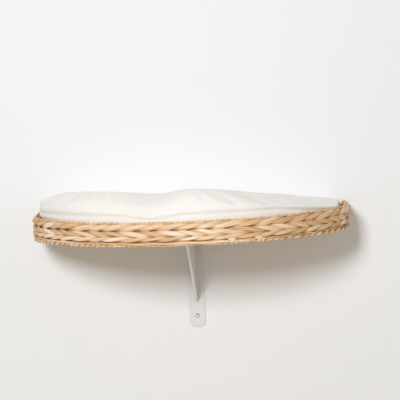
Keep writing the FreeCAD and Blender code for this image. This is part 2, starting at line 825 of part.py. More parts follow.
# Every object has to be sound before any file is written.
doc.recompute()
for item in doc.Objects:
    if "Invalid" in item.State or "Error" in item.State:
        raise RuntimeError(f"{item.Name} failed: {item.State}")
for name, node in nodes.items():
    node.Label = name
    if node.Shape.isNull() or not node.Shape.isValid():
        raise RuntimeError(f"{name} has no sound shape")
os.makedirs("parts", exist_ok=True)
for name, node in nodes.items():
    node.Shape.exportStep(f"parts/{name}.step")
    print(f"{name}: {len(node.Shape.Solids)} solids, {node.Shape.Volume:.0f} cubic mm")
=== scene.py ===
# %% [markdown]
# # A wall perch with a woven rim and a plump cushion
#
# The perch is a half-round plywood shelf on one steel bracket. A rim of plaited leaf runs round its
# curved edge, and a loose cushion lies inside the rim. The solid model already has every piece in
# its place, so this lesson only gives the pieces their looks: it plaits the rim, stuffs the
# cushion, and paints the metal and the wood. Everything is in metres and in the solid model's own
# frame.

import json
import math

import bpy
import numpy as np
from mathutils import Matrix, Vector


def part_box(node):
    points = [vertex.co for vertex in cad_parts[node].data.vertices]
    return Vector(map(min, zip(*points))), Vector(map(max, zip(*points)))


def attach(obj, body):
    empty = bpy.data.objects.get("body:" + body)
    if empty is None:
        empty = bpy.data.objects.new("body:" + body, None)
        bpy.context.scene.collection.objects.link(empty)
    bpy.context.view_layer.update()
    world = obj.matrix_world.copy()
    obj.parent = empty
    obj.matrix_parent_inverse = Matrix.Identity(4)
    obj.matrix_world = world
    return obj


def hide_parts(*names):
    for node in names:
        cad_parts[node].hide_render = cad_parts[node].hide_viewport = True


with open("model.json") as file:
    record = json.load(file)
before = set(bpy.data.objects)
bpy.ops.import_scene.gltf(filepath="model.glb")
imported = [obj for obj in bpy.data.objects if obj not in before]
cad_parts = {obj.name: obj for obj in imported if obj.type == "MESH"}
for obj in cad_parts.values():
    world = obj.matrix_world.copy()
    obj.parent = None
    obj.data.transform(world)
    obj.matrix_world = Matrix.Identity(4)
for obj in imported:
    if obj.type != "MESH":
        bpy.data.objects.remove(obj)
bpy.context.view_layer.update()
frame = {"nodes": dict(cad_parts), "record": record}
scene = bpy.context.scene
MM = 0.001
FULL_TURN = 2 * math.pi
UP = np.array([0.0, 0.0, 1.0])

# %% [markdown]
# ## The camera
#
# The picture was taken from the front, a little above the shelf and a little to its right, with the
# camera tipped by a few degrees. Such a place can be found by trying, or worked out from points
# whose places on the object are known. Here the rim's ends, its front curve and the bracket's lower
# end gave the numbers below. A long lens far away keeps the rim's curve as flat as it looks.

# %% Camera
CAMERA_PLACE = Vector((158.6, -2400.0, 239.7)) * MM
CAMERA_YAW = math.radians(-3.455)
CAMERA_PITCH = math.radians(-4.592)
CAMERA_ROLL = math.radians(-2.51)
FOCAL_PIXELS = 1326.9
IMAGE_PIXELS = 400
SENSOR_WIDTH = 36.0

forward = Vector((
    math.sin(CAMERA_YAW) * math.cos(CAMERA_PITCH),
    math.cos(CAMERA_YAW) * math.cos(CAMERA_PITCH),
    math.sin(CAMERA_PITCH),
))
level_right = Vector((math.cos(CAMERA_YAW), -math.sin(CAMERA_YAW), 0.0))
level_up = level_right.cross(forward)
picture_right = level_right * math.cos(CAMERA_ROLL) + level_up * math.sin(CAMERA_ROLL)
picture_up = picture_right.cross(forward)

camera_data = bpy.data.cameras.new("camera")
camera_data.sensor_fit = "HORIZONTAL"
camera_data.sensor_width = SENSOR_WIDTH
camera_data.lens = SENSOR_WIDTH * FOCAL_PIXELS / IMAGE_PIXELS
camera = bpy.data.objects.new("camera", camera_data)
turned = Matrix((picture_right, picture_up, -forward)).transposed()
camera.matrix_world = Matrix.Translation(CAMERA_PLACE) @ turned.to_4x4()
scene.collection.objects.link(camera)
scene.camera = camera
print("lens, in mm:", round(camera_data.lens, 1))

# %% [markdown]
# ## Surfaces from grids
#
# Every new piece below is a grid of points: rows run along it, columns run round it. One helper
# turns such grids into a mesh. It joins neighbouring points into four-sided faces, closes each end
# of a tube with one many-sided face, and turns a tube round if its volume comes out negative, so
# that all faces look outwards. The distance along the strand goes into a UV map, and any other
# value that a finish needs, such as how pale the leaf is, goes into an attribute.


# %% Grid helpers
def tube_faces(rows, columns):
    """One quad per grid square, with its corners' rows and columns. Only columns wrap round."""
    row, column = np.meshgrid(np.arange(rows - 1), np.arange(columns), indexing="ij")
    corner_rows = np.stack([row, row, row + 1, row + 1], axis=-1).reshape(-1, 4)
    corner_columns = np.stack([column, column + 1, column + 1, column], axis=-1).reshape(-1, 4)
    return corner_rows * columns + corner_columns % columns, corner_rows, corner_columns


def enclosed_volume(points, quads):
    """A sixth of the sum, over the triangles of all quads, of the three corners' box product."""
    a, b, c, d = (points[quads[:, corner]] for corner in range(4))
    first = np.einsum("ij,ij->i", a, np.cross(b, c))
    second = np.einsum("ij,ij->i", a, np.cross(c, d))
    return (first.sum() + second.sum()) / 6


def build_tubes(name, tubes, body, closed_far_end=True):
    """Joins tubes into one piece. A tube is its points, its rows' distances and its attributes."""
    points, quads, caps, corner_uv, cap_uv = [], [], [], [], []
    start = 0
    for grid, along, attributes in tubes:
        rows, columns = grid.shape[:2]
        flat = grid.reshape(-1, 3)
        corners, corner_rows, corner_columns = tube_faces(rows, columns)
        near_cap = np.arange(columns)[::-1]
        far_cap = np.arange(columns) + (rows - 1) * columns
        uv = np.stack([along[corner_rows], corner_columns / columns], axis=-1)
        if enclosed_volume(flat - flat.mean(axis=0), corners) < 0:
            corners, uv = corners[:, ::-1], uv[:, ::-1]
            near_cap, far_cap = near_cap[::-1], far_cap[::-1]
        points.append(flat)
        quads.append(corners + start)
        corner_uv.append(uv.reshape(-1, 2))
        caps.append(near_cap + start)
        cap_uv.append(np.full((columns, 2), along[0]))
        if closed_far_end:
            caps.append(far_cap + start)
            cap_uv.append(np.full((columns, 2), along[-1]))
        start += len(flat)
    faces = np.concatenate(quads).tolist() + [cap.tolist() for cap in caps]
    mesh = bpy.data.meshes.new(name)
    mesh.from_pydata(np.concatenate(points), [], faces)
    layer = mesh.uv_layers.new(name="strand")
    layer.data.foreach_set("uv", np.concatenate(corner_uv + cap_uv).ravel().astype(np.float32))
    for key in tubes[0][2]:
        values = np.concatenate([attributes[key].ravel() for _, _, attributes in tubes])
        attribute = mesh.attributes.new(key, "FLOAT", "POINT")
        attribute.data.foreach_set("value", values.astype(np.float32))
    mesh.shade_smooth()
    piece = bpy.data.objects.new(name, mesh)
    scene.collection.objects.link(piece)
    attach(piece, body)
    print(name, "has", len(faces), "faces in", len(tubes), "tubes")
    return piece


# %% [markdown]
# ## Materials
#
# A finish is a small network of nodes. Every pattern here is worked out from noise on the object's
# own coordinates, or on the strand's UV map, so there is no picture file and nothing slides when
# the piece moves. One helper starts a material with the shader's plain values, which sit on the
# shader's own sockets. Another adds a node and feeds its inputs in one line, and the rest are small
# sets of nodes that are needed more than once. The Mix node's colour sockets share their names with
# other sockets, so they are picked by number.

# %% Material helpers
FIRST_COLOUR = 6
SECOND_COLOUR = 7
MIXED_COLOUR = 2


def new_material(name, colour, roughness, metallic=0.0):
    """A material with its main shader's colour, roughness and metallic value set."""
    material = bpy.data.materials.new(name)
    material.use_nodes = True
    shader = material.node_tree.nodes["Principled BSDF"]
    shader.inputs["Base Color"].default_value = (*colour, 1.0)
    shader.inputs["Roughness"].default_value = roughness
    shader.inputs["Metallic"].default_value = metallic
    return material, shader


def feed(material, socket, value):
    """Gives a socket a link, or else a plain number or colour."""
    if isinstance(value, bpy.types.NodeSocket):
        material.node_tree.links.new(value, socket)
    else:
        socket.default_value = value


def add_node(material, kind, settings=None, **inputs):
    """Adds a node, sets its options, and feeds each named input."""
    node = material.node_tree.nodes.new(kind)
    for option, value in (settings or {}).items():
        setattr(node, option, value)
    for socket_name, value in inputs.items():
        feed(material, node.inputs[socket_name.replace("_", " ")], value)
    return node


def add_math(material, operation, *values):
    """A Math node, with its inputs fed in their order."""
    node = add_node(material, "ShaderNodeMath", {"operation": operation})
    for socket, value in zip(node.inputs, values):
        feed(material, socket, value)
    return node.outputs["Value"]


def mix_colours(material, factor, first, second):
    """Goes from the first colour to the second as the factor goes from 0 to 1."""
    node = add_node(material, "ShaderNodeMix", {"data_type": "RGBA"}, Factor=factor)
    feed(material, node.inputs[FIRST_COLOUR], first)
    feed(material, node.inputs[SECOND_COLOUR], second)
    return node.outputs[MIXED_COLOUR]


def mix_shaders(material, output_name, factor, first, second):
    """Shows the first shader where the factor is 0 and the second where it is 1."""
    mix = add_node(material, "ShaderNodeMixShader", Fac=factor)
    feed(material, mix.inputs[1], first)
    feed(material, mix.inputs[2], second)
    output = material.node_tree.nodes[output_name]
    feed(material, output.inputs["Surface"], mix.outputs["Shader"])


def add_ramp(material, factor, stops):
    """A colour ramp: stops are (place from 0 to 1, colour)."""
    node = add_node(material, "ShaderNodeValToRGB", Fac=factor)
    elements = node.color_ramp.elements
    for _ in range(len(stops) - len(elements)):
        elements.new(1.0)
    for element, (place, colour) in zip(elements, stops):
        element.position = place
        element.color = (*colour, 1.0)
    return node.outputs["Color"]


def add_bump(material, shader, height, strength, distance):
    """Lets a height pattern tilt the surface's normal."""
    bump = add_node(
        material, "ShaderNodeBump", Height=height, Strength=strength, Distance=distance
    )
    material.node_tree.links.new(bump.outputs["Normal"], shader.inputs["Normal"])


def stretched_noise(material, vector, stretch, detail):
    """Noise with a stretched grain: the vector is multiplied by stretch before it is read."""
    mapping = add_node(material, "ShaderNodeMapping", Vector=vector, Scale=stretch)
    noise = add_node(
        material, "ShaderNodeTexNoise", Vector=mapping.outputs["Vector"], Scale=1.0, Detail=detail
    )
    return noise.outputs["Fac"]


# %% [markdown]
# ## The stage
#
# The perch hangs on a plain pale wall, with a pale floor well below. Both could be thick slabs, but
# one flat face each is enough. The wall shows from the room only: its back is see-through, so that
# the perch can be looked at from behind as well.

# %% Wall and floor
WALL_BEHIND = 0.2 * MM
WALL_SIDE = 12.0
FLOOR_DROP = 1.1
PALE_WALL = (0.90, 0.915, 0.93)
PALE_FLOOR = (0.74, 0.66, 0.56)


def flat_face(name, corners, material):
    """One four-sided face that belongs to the stage."""
    mesh = bpy.data.meshes.new(name)
    mesh.from_pydata(corners, [], [(0, 1, 2, 3)])
    mesh.materials.append(material)
    piece = bpy.data.objects.new(name, mesh)
    scene.collection.objects.link(piece)


wall_paint, wall_shader = new_material("wall_paint", PALE_WALL, roughness=0.95)
wall_shader.inputs["Specular IOR Level"].default_value = 0.0
painted = wall_shader.outputs["BSDF"]
see_through = add_node(wall_paint, "ShaderNodeBsdfTransparent").outputs["BSDF"]
facing_back = add_node(wall_paint, "ShaderNodeNewGeometry").outputs["Backfacing"]
mix_shaders(wall_paint, "Material Output", facing_back, painted, see_through)

half_wall = WALL_SIDE / 2
flat_face("wall", [
    (-half_wall, WALL_BEHIND, -FLOOR_DROP),
    (half_wall, WALL_BEHIND, -FLOOR_DROP),
    (half_wall, WALL_BEHIND, half_wall),
    (-half_wall, WALL_BEHIND, half_wall),
], wall_paint)
floor_paint, _ = new_material("floor_paint", PALE_FLOOR, roughness=0.9)
flat_face("floor", [
    (-half_wall, -WALL_SIDE, -FLOOR_DROP),
    (half_wall, -WALL_SIDE, -FLOOR_DROP),
    (half_wall, WALL_BEHIND, -FLOOR_DROP),
    (-half_wall, WALL_BEHIND, -FLOOR_DROP),
], floor_paint)
print("stage: wall", WALL_SIDE, "m wide, floor", FLOOR_DROP, "m below the shelf")

# %% [markdown]
# ## The light
#
# A soft studio light is a large bright square: the larger it is, the softer the shadow's edge. The
# main lamp stands in front, above and to the left, which puts the shelf's shadow below it and to
# its right. A wide lamp on the right and one overhead soften that shadow, and the sky gives the
# rest. What the eye and shiny metal see of the sky is nearly white, but the light that it sends is
# weaker and warmer, which makes the shadow brownish. One sun lamp would be simpler, but its shadow
# would be hard.

# %% Lamps and sky
LAMP_AIM = Vector((0.0, -0.1, 0.0))
COOL_LIGHT = (0.95, 0.975, 1.0)
WARM_LIGHT = (1.0, 0.98, 0.96)
WHITE_LIGHT = (1.0, 1.0, 1.0)
SKY_LIGHT = 0.28
SKY_SEEN = 0.93
SKY_COLOUR = (1.0, 0.92, 0.84, 1.0)
SKY_SEEN_COLOUR = (1.0, 0.99, 0.975, 1.0)


def soft_lamp(name, place, side, watts, colour):
    """A square lamp that stands at a place seen from the shelf and looks at the shelf."""
    data = bpy.data.lights.new(name, "AREA")
    data.shape = "SQUARE"
    data.size = side
    data.energy = watts
    data.color = colour
    lamp = bpy.data.objects.new(name, data)
    lamp.location = LAMP_AIM + Vector(place)
    lamp.rotation_mode = "QUATERNION"
    lamp.rotation_quaternion = (-Vector(place)).to_track_quat("-Z", "Y")
    scene.collection.objects.link(lamp)
    print(name, "at", [round(part, 2) for part in lamp.location], "with", watts, "W")


soft_lamp("front_lamp", (-0.44, -2.35, 0.87), side=0.52, watts=41.8, colour=COOL_LIGHT)
soft_lamp("side_lamp", (1.6, -1.8, 0.7), side=1.4, watts=4.2, colour=WARM_LIGHT)
soft_lamp("ceiling_lamp", (0.0, -0.9, 1.9), side=1.6, watts=2.0, colour=WHITE_LIGHT)

sky = bpy.data.worlds.new("sky")
sky.use_nodes = True
scene.world = sky
sky_light = sky.node_tree.nodes["Background"]
sky_light.inputs["Color"].default_value = SKY_COLOUR
sky_light.inputs["Strength"].default_value = SKY_LIGHT
sky_seen = add_node(sky, "ShaderNodeBackground", Color=SKY_SEEN_COLOUR, Strength=SKY_SEEN)
rays = add_node(sky, "ShaderNodeLightPath").outputs
eye_or_gloss = add_math(sky, "MAXIMUM", rays["Is Camera Ray"], rays["Is Glossy Ray"])
eye_gloss_or_glass = add_math(sky, "MAXIMUM", eye_or_gloss, rays["Is Transmission Ray"])
as_light = sky_light.outputs["Background"]
as_seen = sky_seen.outputs["Background"]
mix_shaders(sky, "World Output", eye_gloss_or_glass, as_light, as_seen)
scene.view_settings.view_transform = "Standard"
print("sky gives", SKY_LIGHT, "and is seen as", SKY_SEEN)

# %% [markdown]
# ## Metal, wire and plugs
#
# The bracket is steel with a thin silver-white coat, neither mirror nor chalk: a middling roughness
# gives it a soft sheen, and a very fine noise breaks up the highlight as a sprayed coat does. The
# screws are bright zinc. The wire inside the rim is dark annealed wire, so that what shows of it
# between the strands stays dark. These finishes go into the solid model's own material slots.


# %% Metal finishes
def speckled(name, colour, roughness, metallic, grain, depth):
    """A plain finish with a fine bump: noise on object coordinates, grain cells to the metre."""
    material, shader = new_material(name, colour, roughness, metallic)
    place = add_node(material, "ShaderNodeTexCoord").outputs["Object"]
    height = stretched_noise(material, place, (grain, grain, grain), detail=2.0)
    add_bump(material, shader, height, strength=0.3, distance=depth)
    return material


finishes = {
    "coated_steel": speckled(
        "silver_coat", (0.80, 0.81, 0.815),
        roughness=0.36, metallic=0.15, grain=1500.0, depth=0.05 * MM,
    ),
    "screw_steel": speckled(
        "bright_zinc", (0.66, 0.68, 0.69),
        roughness=0.28, metallic=1.0, grain=2500.0, depth=0.03 * MM,
    ),
    "frame_wire": speckled(
        "annealed_wire", (0.10, 0.075, 0.055),
        roughness=0.55, metallic=0.4, grain=2500.0, depth=0.05 * MM,
    ),
    "plug_nylon": speckled(
        "grey_nylon", (0.52, 0.52, 0.51),
        roughness=0.5, metallic=0.0, grain=1200.0, depth=0.05 * MM,
    ),
}
print("metal and plastic finishes:", sorted(finishes))

# %% [markdown]
# ## Plywood
#
# The board is thin sheets of wood glued crosswise. Its faces show long grain, and its cut edge
# shows the sheets as light and dark lines. Both come from one material: the surface's own direction
# says whether a spot is a face or an edge. On a face, noise stretched along the board makes the
# grain; on an edge, a ramp over the height goes to and fro once for each pair of sheets.

# %% Plywood finish
board_low, board_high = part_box("shelf_board")
PLY_PAIRS = 4
GRAIN_STRETCH = (9.0, 160.0, 160.0)
ply_pair = (board_high.z - board_low.z) / PLY_PAIRS

plywood, plywood_shader = new_material("birch_plywood", (0.72, 0.56, 0.37), roughness=0.62)
board_place = add_node(plywood, "ShaderNodeTexCoord").outputs["Object"]
grain = stretched_noise(plywood, board_place, GRAIN_STRETCH, detail=4.0)
face_colour = add_ramp(plywood, grain, [
    (0.30, (0.60, 0.42, 0.25)),
    (0.52, (0.73, 0.56, 0.37)),
    (0.75, (0.80, 0.65, 0.46)),
])
board_height = add_node(plywood, "ShaderNodeSeparateXYZ", Vector=board_place).outputs["Z"]
from_glue_line = add_math(plywood, "PINGPONG", board_height, ply_pair / 2)
pair_place = add_node(plywood, "ShaderNodeMapRange", Value=from_glue_line, From_Max=ply_pair / 2)
edge_colour = add_ramp(plywood, pair_place.outputs["Result"], [
    (0.42, (0.42, 0.27, 0.15)),
    (0.58, (0.74, 0.58, 0.40)),
])
surface_way = add_node(plywood, "ShaderNodeNewGeometry").outputs["True Normal"]
lies_flat = add_node(plywood, "ShaderNodeSeparateXYZ", Vector=surface_way).outputs["Z"]
flatness = add_math(plywood, "ABSOLUTE", lies_flat)
board_colour = mix_colours(plywood, flatness, edge_colour, face_colour)
feed(plywood, plywood_shader.inputs["Base Color"], board_colour)
add_bump(plywood, plywood_shader, grain, strength=0.25, distance=0.2 * MM)
finishes["plywood"] = plywood
print("plywood:", PLY_PAIRS, "pairs of sheets,", round(ply_pair / MM, 2), "mm each")

# %% [markdown]
# ## Finishes on the solid pieces
#
# The board, the bracket, the screws, the wires and the plugs already have their right shapes in the
# solid model. They could be modelled again, but they only need a finish, so each solid gets the one
# that its slot names. The nails are dark annealed nails, not bright ones, so that no heads shine
# between the strands.

# %% Put the finishes on the solid pieces
for subpart in frame["record"]["subparts"]:
    finish = finishes.get(subpart["material_slot"])
    if subpart["node"] == "rim_nails":
        finish = finishes["frame_wire"]
    if finish:
        materials = frame["nodes"][subpart["node"]].data.materials
        materials.clear()
        materials.append(finish)
        print(subpart["node"], "wears", finish.name)

# %% [markdown]
# ## The line that the rim follows
#
# Seen from above the shelf is half-round: two short straight ends leave the wall, each turns
# through a corner arc, and one wide arc joins them across the front. The arcs touch without a kink,
# so the distance between their centres is the difference of their radii. The same line, set further
# in, also gives the cushion's plan. It is worked out for whole arrays of distances at once.

# %% Half-round line
FRONT_SHARE = 1.07
CORNER_SHARE = 0.6

rim_low, rim_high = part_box("rim_upper_plait")
outer_half = rim_high.x
outer_depth = -rim_low.y
rim_wall_gap = -rim_high.y
rim_thick = outer_half - board_high.x
front_radius = FRONT_SHARE * outer_half
corner_radius = CORNER_SHARE * outer_half
front_centre = front_radius - outer_depth
corner_across = outer_half - corner_radius
corner_behind = math.sqrt((front_radius - corner_radius) ** 2 - corner_across**2)
corner_centre = front_centre - corner_behind
corner_turn = math.atan2(corner_behind, corner_across)


def half_round_line(inset, wall_gap, count):
    """Evenly spaced places on the half-round line, their outward directions and their distances.

    The line lies inset inside the rim's outer face and starts wall_gap from the wall, on the left.
    With the distance from the nearer end: first it runs straight out from the wall, then the angle
    grows by distance over the corner's radius, then by distance over the front's radius. The place
    is the arc's centre plus its radius times the outward direction, mirrored for the right half.
    """
    corner = corner_radius - inset
    front = front_radius - inset
    end_length = -wall_gap - corner_centre
    corner_length = corner * corner_turn
    length = 2 * (end_length + corner_length + front * (math.pi / 2 - corner_turn))
    distance = np.linspace(0.0, length, count)
    near = np.minimum(distance, length - distance)
    side = np.where(distance < length / 2, -1.0, 1.0)
    straight = near < end_length
    turning = near < end_length + corner_length
    corner_angle = (near - end_length) / corner
    front_angle = corner_turn + (near - end_length - corner_length) / front
    angle = np.select([straight, turning], [np.zeros_like(near), corner_angle], front_angle)
    across = np.select(
        [straight, turning],
        [np.full_like(near, outer_half - inset), corner_across + corner * np.cos(angle)],
        front * np.cos(angle),
    )
    back = np.select(
        [straight, turning],
        [-wall_gap - near, corner_centre - corner * np.sin(angle)],
        front_centre - front * np.sin(angle),
    )
    place = np.stack([side * across, back, np.zeros_like(near)], axis=-1)
    outward = np.stack([side * np.cos(angle), -np.sin(angle), np.zeros_like(near)], axis=-1)
    return place, outward, distance


RIM_ROWS = 620
rim_place, rim_outward, rim_distance = half_round_line(rim_thick / 2, rim_wall_gap, RIM_ROWS)
rim_length = rim_distance[-1]
print("rim line:", round(rim_length / MM), "mm in", RIM_ROWS, "rows")

# %% [markdown]
# ## A strand of leaf
#
# A strand is a bundle of dried leaf, twisted a little and pressed flat. It could be a curve with a
# round bevel, but the real one is an oval with creases along it. So an oval is carried along a
# path: at each row it stands square to the travel direction and turns its flat side outwards. Slow
# waves round the oval, which drift along the strand, fold its surface as crumpled leaf does.

# %% Strand helpers
SIDES = 22
WANDER_STRETCHES = np.array([1.0, 0.61, 1.73])
SLOW_FOLDS = 3
SLOW_SHARE = 0.65
QUICK_FOLDS = 5
QUICK_SHARE = 0.35
QUICK_DRIFT = 1.7

around = np.arange(SIDES) * FULL_TURN / SIDES


def unit(vectors):
    """Vectors divided by their own lengths."""
    return vectors / np.linalg.norm(vectors, axis=-1, keepdims=True)


def wander(distance, seed, wavelength):
    """A slow, repeatable wave from -1 to 1: three sines near one wavelength, with seeded phases."""
    phases = np.random.default_rng(seed).uniform(0.0, FULL_TURN, len(WANDER_STRETCHES))
    angles = FULL_TURN * distance[..., None] / (wavelength * WANDER_STRETCHES) + phases
    return np.sin(angles).mean(axis=-1)


def folded_oval(distance, seed, depth, turn_length):
    """How far each point of the oval stands out: one, plus two waves that turn along the strand."""
    drift = FULL_TURN * distance[:, None] / turn_length + seed
    slow = np.cos(SLOW_FOLDS * around[None, :] + drift)
    quick = np.cos(QUICK_FOLDS * around[None, :] - QUICK_DRIFT * drift)
    return 1.0 + depth * (SLOW_SHARE * slow + QUICK_SHARE * quick)


def sweep_oval(path, facing, half_width, half_thick, folds):
    """Carries an oval along a path: cosine times the half width, sine times the half thickness.

    The thin way is the facing direction made square to the travel direction, and the wide way is
    square to both. Half width and half thickness are given for each row, folds for each point.
    """
    travel = unit(np.gradient(path, axis=0))
    thin = unit(facing - (facing * travel).sum(axis=-1, keepdims=True) * travel)
    wide = np.cross(travel, thin)
    reach_wide = half_width[:, None] * np.cos(around) * folds
    reach_thin = half_thick[:, None] * np.sin(around) * folds
    sideways = wide[:, None] * reach_wide[..., None]
    outwards = thin[:, None] * reach_thin[..., None]
    return path[:, None] + sideways + outwards


# %% [markdown]
# ## The leaf finish
#
# Dried leaf is straw coloured, paler where a strand is fresh and browner where it has aged, with
# fine fibres along its length. The strand's UV map knows which way the fibres run, so noise
# stretched along it draws them, both as thin darker lines and as a slight bump. Two attributes that
# the strands carry, for tone and warmth, say how pale and how orange each stretch is. The tone also
# carries painted shade: darker where a strand is tucked behind or rolled under, in its creases and
# between the turns of the cords, and darkest on the strip behind the holes.

# %% Leaf finish
FIBRE_STRETCH = (32.0, 13.0, 1.0)
LEAF_TONES = [
    (0.00, (0.30, 0.155, 0.062)),
    (0.25, (0.55, 0.335, 0.165)),
    (0.50, (0.72, 0.475, 0.262)),
    (0.75, (0.83, 0.60, 0.39)),
    (1.00, (0.94, 0.80, 0.66)),
]
WARM_LEAF = (0.74, 0.42, 0.175, 1.0)
WARM_SHARE = 0.45
FIBRE_SHARE = 0.34
FIBRE_LOW = 0.25
FIBRE_HIGH = 0.75

leaf, leaf_shader = new_material("dried_leaf", (0.72, 0.475, 0.262), roughness=0.68)
leaf_shader.inputs["Specular IOR Level"].default_value = 0.28
strand_map = add_node(leaf, "ShaderNodeUVMap", {"uv_map": "strand"}).outputs["UV"]
fibre = stretched_noise(leaf, strand_map, FIBRE_STRETCH, detail=5.0)
# The tone attribute holds the leaf's own paleness together with painted shade.
tone_and_shade = add_node(leaf, "ShaderNodeAttribute", {"attribute_name": "tone_and_shade"}).outputs["Fac"]
warmth = add_node(leaf, "ShaderNodeAttribute", {"attribute_name": "warmth"}).outputs["Fac"]
fibre_shift = add_node(
    leaf, "ShaderNodeMapRange", Value=fibre, From_Min=FIBRE_LOW, From_Max=FIBRE_HIGH,
    To_Min=-FIBRE_SHARE, To_Max=FIBRE_SHARE,
)
mottled_and_shaded = add_math(leaf, "ADD", tone_and_shade, fibre_shift.outputs["Result"])
leaf_colour = add_ramp(leaf, mottled_and_shaded, LEAF_TONES)
warm_amount = add_node(leaf, "ShaderNodeMapRange", Value=warmth, To_Max=WARM_SHARE)
tinted = mix_colours(leaf, warm_amount.outputs["Result"], leaf_colour, WARM_LEAF)
feed(leaf, leaf_shader.inputs["Base Color"], tinted)
add_bump(leaf, leaf_shader, fibre, strength=0.55, distance=0.5 * MM)
print("leaf finish:", len(LEAF_TONES), "tones")

# %% [markdown]
# ## Where the weave changes
#
# The rim is woven on 29 upright wires, and no such rim is the same all the way along. This one has
# plumper and browner stitches on its right, and a knobbly lower edge towards both ends. Copying
# each stitch by hand would take days. Instead each change is one array over the rim's rows, from
# none to full, and the pieces below fade it in where they need it.

# %% Changes along the rim
BAYS = 29
UNEVEN_PHASE = 0.45
UNEVEN_SEED = 100
UNEVEN_LENGTH = 150 * MM
KNOBBLY_REACH = 400 * MM
KNOBBLY_SLOPE = 1.6
PLUMP_FROM = 40 * MM
PLUMP_OVER = 140 * MM
EDGE_PACE = 0.5
KNOBBLY_PACE = 1.4

bay = rim_length / BAYS
uneven = UNEVEN_PHASE * wander(rim_distance, UNEVEN_SEED, UNEVEN_LENGTH)
from_end = np.minimum(rim_distance, rim_length - rim_distance)
knobbly = np.clip(KNOBBLY_SLOPE * (1.0 - from_end / KNOBBLY_REACH), 0.0, 1.0)
on_right = np.clip((rim_place[:, 0] - PLUMP_FROM) / PLUMP_OVER, 0.0, 1.0)
even_pace = np.ones(RIM_ROWS)
edge_pace = EDGE_PACE + KNOBBLY_PACE * knobbly
print("rim:", BAYS, "bays of", round(bay / MM, 1), "mm")

# %% [markdown]
# ## Twined rows
#
# The rim is twined: in each row three strands run round the upright wires, each in front of two
# wires and then behind one, and they twist round each other as they go. Seen from the front that
# leaves one long slanting stitch for every wire. Neighbouring rows turn opposite ways, so their
# stitches meet in arrows, with a small dark hole at each arrow's tip. One phase that grows by a
# third of a turn from wire to wire gives it all: a strand's depth is the phase's cosine, and its
# height is the phase's sine.

# %% Twined strands
ROW_STRANDS = 3
STRAND_THIN = 2.9 * MM
DEPTH_SWING = 3.3 * MM
SWAY_SHARE = 0.42
NARROW_SHARE = 0.60
FULLNESS_POWER = 0.7
PLUMP_SHARE = 0.12
HALF_BAY = 0.5
START_PHASE = -math.pi / 3
CREASE_DEPTH = 0.13
CREASE_TURN = 75 * MM
HEIGHT_SHIFT = 0.6 * MM
# Shares of painted light and shade in the tone: on folds, behind, at rolled edges.
FOLD_SHADE = 0.5
TUCKED_SHADE = 0.36
ROLLED_SHADE = 0.24
RIGHT_AGED = 0.13
STITCH_TONES = (0.42, 1.08)
STITCH_WARMTHS = (-0.7, 1.0)
STITCH_SHIFTS = (-1.0, 1.0)
STITCH_WIDTHS = (0.92, 1.14)
TONE_SEED = 20
WARMTH_SEED = 30
SHIFT_SEED = 40
WIDTH_SEED = 50


def stitch_values(seed, phase, limits):
    """One random value for each stitch, changing evenly from one stitch's middle to the next's."""
    stitch = phase / FULL_TURN
    count = int(stitch.max()) + 2
    table = np.random.default_rng(seed).uniform(*limits, count)
    return np.interp(stitch, np.arange(count), table)


def twined_row(bottom, top, lean, pace, seed):
    """The strands of a row that leans up or down. At pace one a strand turns once in three wires.

    Depth is the swing times the phase's cosine. Height is the row's middle plus the sway times the
    phase's sine. The half width is what the sway leaves of the row's half height, and it shrinks to
    its narrow share behind. Each stitch is a little wider or narrower, and higher or lower, than
    the next. The tone carries painted shade: it falls with the square of how far a strand is tucked
    in, with the fourth power of the cosine towards its two rolled edges, and in the creases of its
    folds, and it rises as painted light where the folds stand out.
    """
    tubes = []
    half_height = (top - bottom) / 2 * (1.0 + PLUMP_SHARE * on_right)
    sway = SWAY_SHARE * half_height
    half_width = half_height - sway
    wires_passed = np.cumsum(pace) * rim_length / (RIM_ROWS * bay)
    for strand in range(ROW_STRANDS):
        own_seed = seed + strand
        phase = FULL_TURN * (wires_passed - HALF_BAY + strand) / ROW_STRANDS
        phase = phase + START_PHASE + uneven
        front = np.cos(phase)
        shift = HEIGHT_SHIFT * stitch_values(own_seed + SHIFT_SEED, phase, STITCH_SHIFTS)
        height = (bottom + top) / 2 + lean * sway * np.sin(phase) + shift
        path = rim_place + rim_outward * (DEPTH_SWING * front)[:, None] + UP * height[:, None]
        plump = NARROW_SHARE + (1.0 - NARROW_SHARE) * front.clip(0.0) ** FULLNESS_POWER
        plump = plump * stitch_values(own_seed + WIDTH_SEED, phase, STITCH_WIDTHS)
        folds = folded_oval(rim_distance, own_seed, CREASE_DEPTH, CREASE_TURN)
        thin = np.full_like(phase, STRAND_THIN)
        points = sweep_oval(path, rim_outward, half_width * plump, thin, folds)
        fresh = stitch_values(own_seed + TONE_SEED, phase, STITCH_TONES) - RIGHT_AGED * on_right
        # Painted shade: darker as a strand goes behind, towards its rolled edges and in its
        # creases; paler on its folds.
        tucked_shade = TUCKED_SHADE * (1.0 - front.clip(0.0)) ** 2
        rolled_shade = ROLLED_SHADE * np.cos(around) ** 4
        tone_and_shade_grid = (fresh - tucked_shade)[:, None] - rolled_shade[None, :] + FOLD_SHADE * (folds - 1.0)
        orange = stitch_values(own_seed + WARMTH_SEED, phase, STITCH_WARMTHS).clip(0.0)
        warmth_grid = np.repeat(orange[:, None], SIDES, axis=1)
        along = rim_distance + strand * rim_length
        tubes.append((points, along, {"tone_and_shade": tone_and_shade_grid, "warmth": warmth_grid}))
    return tubes


# %% [markdown]
# ## Two bands of two rows
#
# Each band is a row that leans up over a row that leans down. The line of holes between them lies
# in the band's middle above, and lower down in the lower band, whose bottom row is thin: it runs in
# long stitches across the front and in short ones near the ends. At the left end the top row climbs
# a little towards the wall. Behind the stitches lies a thin strip in the darkest leaf colour, which
# is painted shade: it keeps the holes dark, where otherwise the cushion would shine through. It is
# one more oval, very flat, carried along the middle of the rim.

